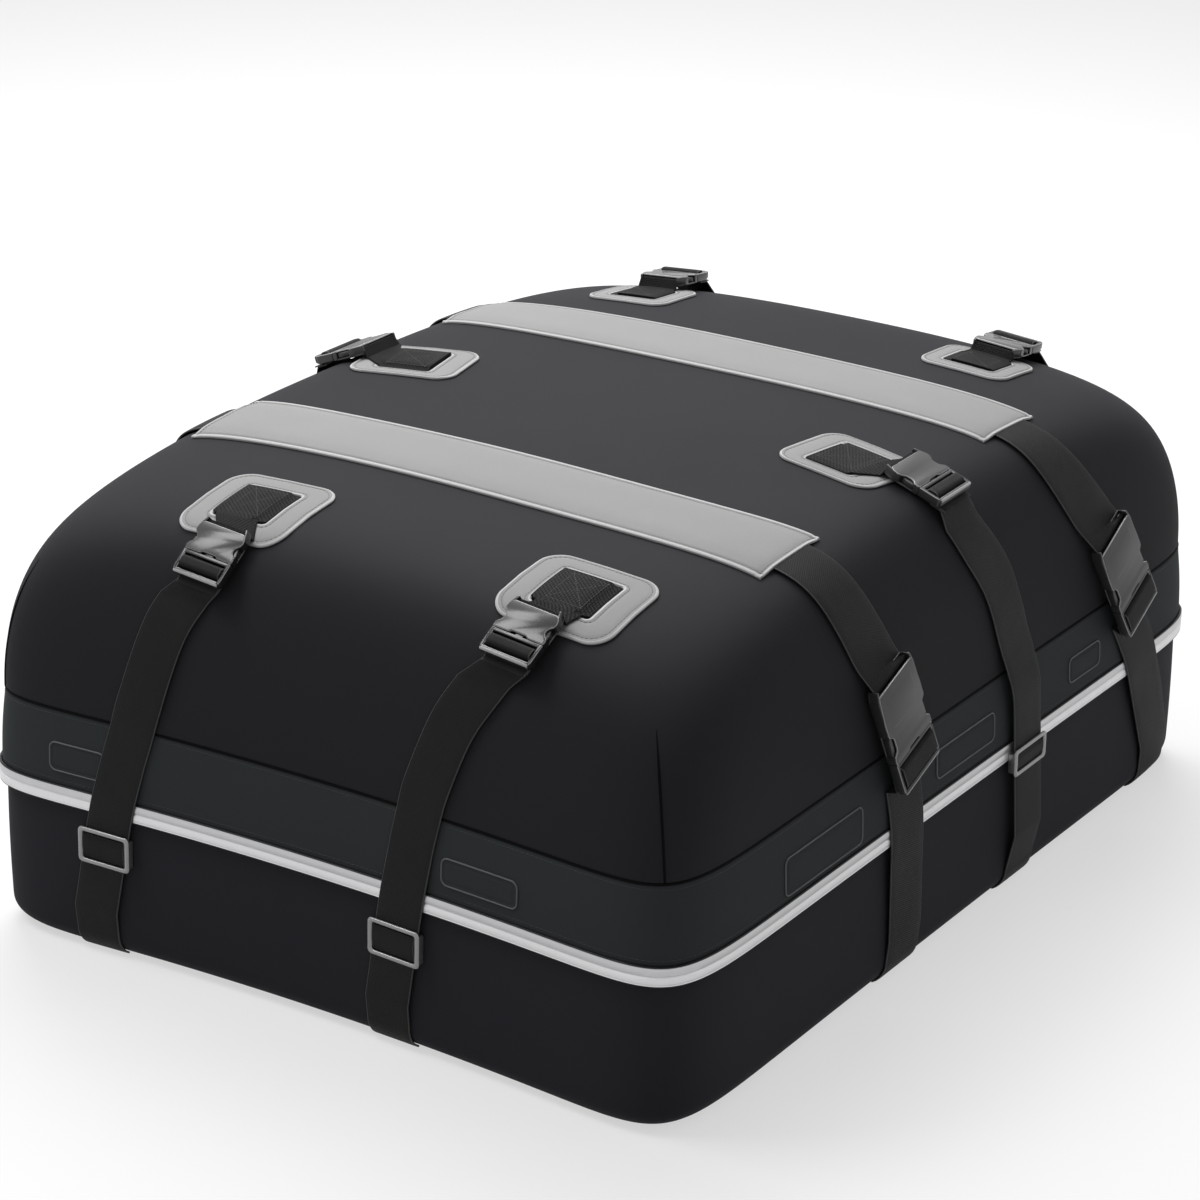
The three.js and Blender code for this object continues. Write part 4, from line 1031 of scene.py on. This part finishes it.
def strap_rows(face, path, web):
    """Top and bottom columns of a strap on a face, widened where it leans, a little slack over the lid."""
    centre = cloth_point(face, path[:, 1], path[:, 0], 0)
    steps = np.gradient(centre, axis=0)
    slant = np.gradient(path[:, 1]) / np.linalg.norm(steps, axis=-1)
    half = web / 2 / np.sqrt(1 - np.clip(slant, -0.9, 0.9) ** 2)
    across = path[:, 1:2] + half[:, None] * COLUMNS
    crown = 0.25 * (1 - COLUMNS ** 2)
    lift = path[:, 2:] + SLACK * np.clip((path[:, :1] - SEAM) / 30, 0, 1)
    over = cloth_point(face, across, path[:, :1], lift + WEB - 0.15 + crown)
    return over, cloth_point(face, across, path[:, :1], lift + 0.1)


def same_way(over, under, own, row):
    """Turns columns round where their own row runs the other way from the row that it joins."""
    crossed = np.linalg.norm(own[0] - row[0]) > np.linalg.norm(own[0] - row[-1])
    return (over[:, ::-1], under[:, ::-1]) if crossed else (over, under)


def chain(*pieces):
    """Pairs of top and bottom rows put end to end."""
    return [np.concatenate(rows) for rows in zip(*pieces)]


def make_webbing(name, body, rides, replaces=(), finishes=None):
    """Webbing, with the texture that runs along it."""
    make(name, body, finishes or [WEBBING, WEBBING_HIGHLIGHT], rides, replaces, cloth_uv=False)


def make_strap(name, face, web, route, buckle, basis):
    """Lower strap: from under the ladder down the wall over flap and strip, then round the base's edge."""
    path = strap_route(face, route)
    end = ladder_span(buckle)[1]
    wall = strap_rows(face, path, web)
    clear_of_buckle = (wall[1][:, 4] - basis[1]) @ basis[0][:, 1] > end + 9
    wall = [rows[clear_of_buckle] for rows in wall]
    lead = web_path([(end - 11, -1.7), (end - 4, -1.8), (end + 1, -2.1)], web / 2, basis, WEB - 0.3)
    lead = same_way(*lead, lead[0][-1], wall[0][0])
    inner = BASE_RADIUS + LAYER
    turns = np.linspace(0, np.arcsin((BASE_RADIUS - 0.3) / (inner + WEB)), 7)
    columns = path[-1, 1] + web / 2 * COLUMNS[None]

    def tuck(radius):
        """Rows round the base's edge: height and stand-out follow the sine and cosine of a turn."""
        height = BASE_RADIUS - radius * np.sin(turns)
        grow = TUB_GROW - BASE_RADIUS + radius * np.cos(turns)
        return cloth_point(face, columns, height[:, None], grow[:, None])

    body = add_web(Body(), *chain(lead, wall, (tuck(inner + WEB), tuck(inner))))
    make_webbing(f"{name}_webbing", body, "bag", [name])


def web_path(points, half, basis, thickness=WEB):
    """Webbing in a buckle's frame from a path of [y, z], carried across by its half width."""
    path = smooth(resample(np.array(points, float), 1.2), 3)
    along = unit(np.gradient(path, axis=0))
    normal = np.stack([-along[:, 1], along[:, 0]], -1)

    def rows(offset):
        yz = path + normal * offset
        flat = np.stack(np.broadcast_arrays(half * COLUMNS[None], yz[:, :1], yz[:, 1:]), -1)
        return place(flat, basis)

    return rows(thickness / 2), rows(-thickness / 2)


def bar_wrap(first, web, basis, row):
    """Webbing round a housing's rear bar, from a first distance along it, joined to the row before it."""
    path = [(first, 5.8), (4.3, 6.1), (7.0, 5.0), (7.9, 3.4), (7.0, 1.9), (4.6, 1.3), (2.4, 1.4)]
    over, under = web_path(path, web / 2 - 0.2, basis, 1.7)
    return same_way(over, under, over[0], row)


# ---- buckles ----

def rounded(points, radius, steps=5):
    """Polygon with each corner drawn as a quadratic curve that starts and ends a radius from it."""
    points = np.array(points, float)
    radius = np.broadcast_to(radius, len(points))[:, None]
    before = unit(np.roll(points, 1, 0) - points)
    after = unit(np.roll(points, -1, 0) - points)
    start = points + before * radius
    end = points + after * radius
    t = np.linspace(0, 1, steps)[None, :, None]
    curve = start[:, None] * (1 - t) ** 2 + points[:, None] * 2 * t * (1 - t) + end[:, None] * t ** 2
    return curve.reshape(-1, 2)


def plate(body, loop, low, high, edge, basis, painted_highlight=()):
    """Flat plate: the loop pulled in round its top and bottom edges by a quarter circle; the rows listed in
    painted_highlight take the second finish, a painted highlight.
    """
    area = (loop[:, 0] * np.roll(loop[:, 1], -1) - np.roll(loop[:, 0], -1) * loop[:, 1]).sum()
    loop = loop if area > 0 else loop[::-1]
    along = unit(np.roll(loop, -1, 0) - np.roll(loop, 1, 0))
    inward = np.stack([-along[:, 1], along[:, 0]], -1)
    turns = np.radians([0, 30, 60, 90])
    rows = [(edge * (1 - np.sin(t)), low + edge * (1 - np.cos(t))) for t in turns]
    rows += [(edge * (1 - np.sin(t)), high - edge * (1 - np.cos(t))) for t in turns[::-1]]
    stack = np.stack([raised(loop + inward * inset, z) for inset, z in rows])
    rim = np.isin(np.arange(len(rows) - 1), painted_highlight)
    body.sweep(place(stack, basis), finish=rim.astype(int)[:, None])


def plate_of(body, corners, radii, low, high, edge, basis, painted_highlight=(), mirror=1):
    """Plate on a polygon with rounded corners, mirrored across the buckle where mirror is -1."""
    plate(body, rounded(np.array(corners) * [mirror, 1], radii), low, high, edge, basis, painted_highlight)


def bar(body, half, y0, y1, z0, z1, edge, basis, painted_highlight=False):
    """Rounded bar along X: a rounded rectangle of its Y and Z carried across, smaller at both tips; where
    painted_highlight is true, its upper rear edge takes the second finish, a painted highlight.
    """
    loop = rounded([(y0, z0), (y1, z0), (y1, z1), (y0, z1)], edge, 4)
    reach = half - edge * np.array([0, 0.3, 1])
    x = np.concatenate([-reach, reach[::-1]])[:, None, None]
    shrink = np.array([0.82, 0.95, 1, 1, 0.95, 0.82])[:, None, None]
    middle = loop.mean(0)
    section = middle + (loop[None] - middle) * shrink
    x = np.broadcast_to(x, section.shape[:2] + (1,))
    rim = (loop[:, 0] > y1 - 0.9 * edge) & (loop[:, 1] > (z0 + z1) / 2) & painted_highlight
    body.sweep(place(np.concatenate([x, section], -1), basis), finish=rim.astype(int)[None])


def make_housing(place_name, web, buckle, basis):
    """Housing: a top shell with a notch on each side, a floor, cheeks, a rear bar and rails."""
    half = web / 2 + WALL
    end = buckle["housing"]
    high = buckle["height"]
    rear = half - buckle["taper"]
    notch = end - buckle["prong"] + buckle["notch"]
    notch_end = end - buckle["notch_end"]
    bite = half - buckle["bite"]
    right = [(rear, 5.2), (half, notch * 0.62), (half, notch - 1.0), (bite, notch + 3.2),
             (bite, notch_end - 3), (half, notch_end + 1), (half, end), (9.5, end), (7.5, end - 1.8)]
    radii = [2.6, 3, 2.2, 3, 3, 2.2, 1.4, 1, 0.8]
    shell = rounded(right + [(-x, y) for x, y in right[::-1]], radii + radii[::-1], 6)
    body = Body()
    # Rows 3 to 5 round the shell's edge take the light grey second finish: a painted highlight.
    plate(body, shell, high - 2.4, high, 0.9, basis, (3, 4, 5))
    base = [(-rear, 0.3), (rear, 0.3), (half, 9.8), (half - 0.3, end), (0.3 - half, end), (-half, 9.8)]
    plate_of(body, base, 2, 0.1, 1.9, 0.6, basis)
    cheek = [(half - 2.6, 9.4), (half, 9.4), (half, notch - 0.6), (half - 2.6, notch)]
    front = [(half - 2.2, notch_end + 1.5), (half, notch_end + 1), (half, end - 0.2), (half - 2.2, end - 0.2)]
    back = [(rear - 2.4, 0.4), (rear, 0.4), (half - 0.2, 9.8), (half - 2.6, 9.8)]
    for sign in (-1, 1):
        for corners, radius in ((cheek, 0.9), (front, 0.7), (back, 0.8)):
            plate_of(body, corners, radius, 0.5, high - 0.6, 0.5, basis, mirror=sign)
    core = [(-rear, 9.6), (rear, 9.6), (rear, notch), (-rear, notch)]
    plate_of(body, core, 1.0, 1.2, high - 1.2, 0.5, basis)
    bar(body, rear, 2.6, 6.0, 2.4, 4.5, 1.0, basis)
    if buckle is LONG:
        panel = [(9 - half, 14), (half - 9, 14), (half - 9, notch - 4), (9 - half, notch - 4)]
        plate_of(body, panel, 5, high - 1.4, high + 0.02, 0.4, basis)
    name = f"buckle_housing_{place_name}"
    finish = PLASTIC if buckle is END_BUCKLE else MATTE
    make(f"{name}_shell", body, [finish, BUCKLE_HIGHLIGHT], "bag", [name], sharp=50, cloth_uv=False)


def make_latch(place_name, web, buckle, basis):
    """Latch: a ladder of rounded bars between two rails, two bowed prongs and a centre tongue."""
    half = web / 2 + WALL
    start, end = ladder_span(buckle)
    low, high = 1.9, buckle["height"] - 2.4 - 0.3
    top = buckle["height"] - 0.5
    tip = buckle["housing"] - buckle["prong"]
    rail = [(half - 3.2, start), (half, start), (half, end - 3), (half - 3.2, end - 1)]
    prong = [(half - 8.3, start + 2), (half - 3.4, start + 2), (half - 2.9, start - 4),
             (half - 0.9, start - 8), (half - 1.2, tip + 9), (half - 3.2, tip + 3.5), (half - 5.4, tip),
             (half - 8.0, tip), (half - 6.4, tip + 6), (half - 5.8, start - 8), (half - 8.0, start - 4)]
    prong_radii = [0.8, 0.8, 2, 1.4, 2.4, 1.4, 1, 1, 2.4, 2, 2]
    body = Body()
    for sign in (-1, 1):
        # Rows 4 and 5 of each rail's edge, and the end bar's upper rear edge, take the light grey second
        # finish: a painted highlight.
        plate_of(body, rail, [0.8, 0.8, 2.5, 0.8], low - 1.3, top, 0.9, basis, (4, 5), sign)
        plate_of(body, prong, prong_radii, low + 0.2, high, 0.8, basis, mirror=sign)
    tongue = [(-4.5, start + 2), (4.5, start + 2), (4.2, tip + 4), (2, tip), (-2, tip), (-4.2, tip + 4)]
    plate_of(body, tongue, 1.2, low + 0.4, high - 0.2, 0.6, basis)
    bar(body, half - 1.5, start, start + 3.6, low - 1.3, top, 1.3, basis)
    bar(body, half - 1.5, start + BAR_AFTER, end - BAR_BEFORE, low + 1.2, top - 0.6, 1.4, basis)
    bar(body, half - 1.2, end - 4.6, end, low - 0.6, top + 0.3, 1.9, basis, True)
    name = f"buckle_latch_{place_name}"
    finish = PLASTIC if buckle is END_BUCKLE else MATTE
    make(f"{name}_frame", body, [finish, BUCKLE_HIGHLIGHT], f"latch_{place_name}", [name], sharp=50,
         cloth_uv=False)


def make_latch_web(place_name, web, buckle, basis):
    """Strap threaded through the ladder: up by the second slot, over the bar, down by the first."""
    start, end = ladder_span(buckle)
    top = buckle["height"]
    path = [(end + 5, -1.6), (end + 1, -1.0), (end - 4, -0.7), (end - 6.3, 1.8), (end - 6.6, top - 2.6),
            (end - BAR_BEFORE, top + 0.7), (start + BAR_AFTER, top + 0.7), (start + 5.6, top - 2.6),
            (start + 5.4, 1.6), (start + 8, -0.4), (end - 8, -0.9)]
    body = add_web(Body(), *web_path(path, web / 2 - 0.4, basis, 1.5))
    make_webbing(f"latch_webbing_{place_name}", body, f"latch_{place_name}")


def make_adjuster(place_name, face, web, route, height, length):
    """Adjuster: a rounded frame over the strap, a bar behind it, and the webbing humped between."""
    knots = np.array(route[-2:]) * [1, face_span(face), 1]
    high, low = knots
    share = (high[0] - height) / (high[0] - low[0])
    top, bottom = (cloth_point(face, across, up_to, lift) for up_to, across, lift in knots)
    origin = top * (1 - share) + bottom * share
    across = (low[1] + high[1]) / 2
    wall = body_point(face, np.array([across - 1, across + 1]), 1.0, 0.0, height)
    normal = unit(np.cross(wall[1] - wall[0], [0, 0, 1.0]))
    outward = origin * [1, 1, 0] / [HALF_WIDTH ** 2, HALF_LENGTH ** 2, 1]
    normal = normal if normal @ outward > 0 else -normal
    upright = unit(np.array([0, 0, -1.0]) + normal * normal[2])
    along = unit(unit(bottom - top) * (1 - LEVELLING) + upright * LEVELLING)
    basis = strap_basis(origin, along, normal)
    inner = web / 2 + 1.2
    outer = inner + 4.4
    half = length / 2
    back, front_low, front = -2.9, 2.5, 5.4
    body = Body()
    rim = rounded_rectangle(2 * outer, 2 * half, 4.5, 7)
    hole = rounded_rectangle(2 * inner - 0.6, 2 * half - 8.6, 2.2, 7)
    section = [(0, -0.1), (0.12, 0.55), (0.35, 0.95), (0.65, 0.95), (0.88, 0.55), (1, -0.1), (0.9, -0.9),
               (0.1, -0.9)]
    middle, thick = (front_low + front) / 2, front - front_low
    rows = [raised(rim + (hole - rim) * share, middle + rise * thick / 2) for share, rise in section]
    body.add(*grid(place(np.stack(rows), basis), True, True))
    cheek = [(inner, 4 - half), (outer, 4 - half), (outer, half - 4), (inner, half - 4)]
    for sign in (-1, 1):
        plate_of(body, cheek, 1.0, back, front - 1.2, 0.7, basis, mirror=sign)
    bar(body, outer, -2.3, 2.3, back, -0.3, 1.1, basis)
    name = f"strap_adjuster_{place_name}"
    rides = f"adjuster_{place_name}"
    make(f"{name}_frame", body, [ADJUSTER], rides, [name], sharp=50, cloth_uv=False)
    rise = [(6 - half, 2.6), (9 - half, 3.0), (-5, 3.9)]
    hump = [(-y, z) for y, z in rise] + [(0, 4.2)] + rise[::-1]
    web_body = add_web(Body(), *web_path(hump, web / 2 - 0.3, basis, 1.4))
    make_webbing(f"adjuster_webbing_{place_name}", web_body, rides)


def make_loop(place_name, face, web, basis):
    """Webbing sewn down in a patch's window, then over the patch and round the housing's bar."""
    centre, _, window, _, turn_by = PATCHES[place_name]
    middle = np.array(centre) * [HALF_WIDTH, HALF_LENGTH]
    outward = {"left": np.pi, "right": 0, "front": -np.pi / 2, "back": np.pi / 2}[face]
    turn = outward + np.radians(turn_by)
    side = 1 - FACES[face][2]
    window_half = window[side] / 2 - 2

    def plan(start, angle, out, shift):
        """Places in plan, out along a heading and aside from it."""
        return (start[0] + out * np.cos(angle) + shift * np.sin(angle),
                start[1] + out * np.sin(angle) - shift * np.cos(angle))

    def plan_rows(start, angle, out, lift, thickness, half, fold=0.0):
        """Rows over the lid along a heading, crowned by a parabola and folded down at one edge."""
        x, y = plan(start, angle, np.array(out)[:, None], half * COLUMNS[None])
        crown = 0.3 * (1 - COLUMNS[None] ** 2) - fold * FOLD[None]
        return top_point(x, y, lift + thickness + crown), top_point(x, y, lift)

    steps = np.linspace(-window_half, window_half - 2, 12)
    sewn = plan_rows(middle, turn, steps, 0.6, 4.1, window[1 - side] / 2 - 0.6, 1.9)
    rear = basis[1]
    heading = basis[0][:, 1]
    lead = min(np.linalg.norm(rear[:2] - middle) - window_half - 4, 4.8)
    crossing = plan_rows(middle, turn, [window_half + 1.6, window_half + 3.0], 3.3, WEB, web / 2, 0.5)
    rear_angle = np.arctan2(heading[1], heading[0])
    to_bar = plan_rows(rear, rear_angle, [-lead, -lead + 1.5], 3.0, WEB, web / 2)
    wrap = bar_wrap(1.6, web, basis, to_bar[0][-1])
    body = add_web(Body(), *chain(sewn, crossing, to_bar, wrap))
    make_webbing(f"loop_webbing_{place_name}", body, "bag", [f"patch_webbing_{place_name}"], [TUFTED])
    stitches = Body()
    reach, wide = window_half - 5, web / 2 - 5
    corners = [(-reach, -wide), (reach, -wide), (reach, wide), (-reach, wide), (-reach, -wide)]
    for line in (corners, corners[0:3:2], corners[1:4:2]):
        run = resample(np.array(line, float), 2.0)
        stitch_lid(stitches, *plan(middle, turn, *run.T), 4.75, 3.6, 2.8, 0.4)
    return stitches


def make_band_web(end):
    """Webbing under a band: over the lid and down both shoulders to the long buckles."""
    y = BANDS[end]
    sides = {}
    for side in ("right", "left"):
        face, web, _, _, _, slant, _, _ = STRAPS[f"{side}_{end}"]
        basis = BASES[f"{side}_{end}"]
        rear = basis[1]
        top_edge = top_height(np.array(BAND_REACH - 6), np.array(y))
        share = np.linspace(0, 1, 44)
        height = top_edge + (rear[2] + 4 - top_edge) * share
        path = np.stack([height, y + (rear[1] - slant * 4 - y) * share ** 1.3, np.full(44, CLEAR)], -1)
        path[-8:, 2] += np.linspace(0, 1, 8) ** 2 * 2.6
        down = strap_rows(face, path, BAND_WEB)
        sides[side] = chain(down, bar_wrap(1.2, web, basis, down[0][-1]))
    x = np.linspace(-BAND_REACH + 8, BAND_REACH - 8, 60)[:, None]
    across = (y + BAND_WEB / 2 * COLUMNS)[None]
    lid = [top_point(x, across, lift) for lift in (LAYER + WEB, LAYER)]
    body = add_web(Body(), *chain([rows[::-1] for rows in sides["left"]], lid, sides["right"]))
    make_webbing(f"band_strap_{end}", body, "bag", [f"band_webbing_{end}"])


# ---- build ----

make_lid()
make_flap()
make_strip()
make_tub()
make_piping()
make_pads()
make_hem()
make_bands()
make_patches()

BASES = {}
window_stitches = Body()
for place_name, (face, web, buckle, across, reach, slant, adjuster, route) in STRAPS.items():
    basis = buckle_basis(face, across * face_span(face), reach, slant, buckle)
    BASES[place_name] = basis
    make_strap(f"strap_{place_name}", face, web, route, buckle, basis)
    make_housing(place_name, web, buckle, basis)
    make_latch(place_name, web, buckle, basis)
    make_latch_web(place_name, web, buckle, basis)
    if adjuster:
        make_adjuster(place_name, face, web, route, *adjuster)
        window_stitches.take(make_loop(place_name, face, web, basis))
make("window_stitches", window_stitches, [THREAD_BLACK], "bag")
for end in BANDS:
    make_band_web(end)

for node, finish in (("zip_chain", ZIP), ("zip_slider_front", SLIDER), ("zip_slider_back", SLIDER)):
    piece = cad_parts[node]
    piece.data.materials.clear()
    piece.data.materials.append(finish)


# ---- floor, light and camera ----

def seen_as_white(tree, unseen, seen):
    """Strength of a glow: one value for the camera, reflections and glass, another for the light it gives."""
    path = tree.nodes.new("ShaderNodeLightPath")
    direct = calc(tree, "MAXIMUM", path.outputs["Is Camera Ray"], path.outputs["Is Glossy Ray"])
    direct = calc(tree, "MAXIMUM", direct, path.outputs["Is Transmission Ray"])
    return ramp(tree, direct, 0, 1, unseen, seen)


def make_stage():
    """Pale floor that the camera and the reflections see as white, yet holds the bag's shadow."""
    mesh = bpy.data.meshes.new("floor")
    mesh.from_pydata([(-9, -9, 0), (9, -9, 0), (9, 9, 0), (-9, 9, 0)], [], [(0, 1, 2, 3)])
    floor = show("floor", mesh)
    material, tree, shader = new_material("pale_floor")
    settle(shader, Base_Color=(0.42, 0.42, 0.425, 1), Roughness=0.8, Specular_IOR_Level=0.0,
           Emission_Color=(1, 1, 1, 1))
    link(tree, seen_as_white(tree, 0.0, 0.58), shader.inputs["Emission Strength"])
    mesh.materials.append(material)


def put(name, data, axes, spot):
    """Lamp or camera in a frame of three axes at a spot."""
    holder = show(name, data)
    matrix = np.eye(4)
    matrix[:3, :3] = axes
    matrix[:3, 3] = spot
    holder.matrix_world = Matrix(matrix.tolist())
    return holder


def make_light():
    """Even white surroundings, a large soft lamp high behind and a smaller one high in front."""
    world = bpy.data.worlds.new("studio")
    bpy.context.scene.world = world
    world.use_nodes = True
    background = world.node_tree.nodes["Background"]
    settle(background, Color=(1, 1, 1, 1))
    link(world.node_tree, seen_as_white(world.node_tree, 0.31, 1.0), background.inputs["Strength"])
    lamps = (("key", (-1.1, 1.3, 2.9), 2.4, 105), ("glint", (-1.5, -1.15, 2.95), 1.3, 34))
    for name, spot, size, power in lamps:
        lamp = bpy.data.lights.new(name, "AREA")
        lamp.shape = "SQUARE"
        lamp.size = size
        lamp.energy = power
        back = unit(np.array(spot) - [0, 0, 0.2])
        right = unit(np.cross([0.01, 0.01, 1], back))
        put(name, lamp, np.stack([right, np.cross(back, right), back], 1), spot)


AZIMUTH, ELEVATION = np.radians(33.12), np.radians(22.06)
ROLL = 0.0121
AIM = np.array([0.0139, -0.0575, 0.2618])
DISTANCE = 3.555
FOCAL_PIXELS = 3816
FRAME_PIXELS = 1200
SENSOR = 36.0


def make_camera():
    """Camera of the fitted view: turned and raised about the aim, then rolled a little."""
    flat = np.cos(ELEVATION)
    back = np.array([np.sin(AZIMUTH) * flat, -np.cos(AZIMUTH) * flat, np.sin(ELEVATION)])
    right = unit(np.cross(-back, [0, 0, 1.0]))
    top = np.cross(right, -back)
    cosine, sine = np.cos(ROLL), np.sin(ROLL)
    axes = np.stack([cosine * right + sine * top, cosine * top - sine * right, back], 1)
    lens = bpy.data.cameras.new("camera")
    lens.sensor_width = SENSOR
    lens.lens = FOCAL_PIXELS / FRAME_PIXELS * SENSOR
    bpy.context.scene.camera = put("camera", lens, axes, AIM + back * DISTANCE)


make_stage()
make_light()
make_camera()
bpy.context.scene.view_settings.view_transform = "Standard"
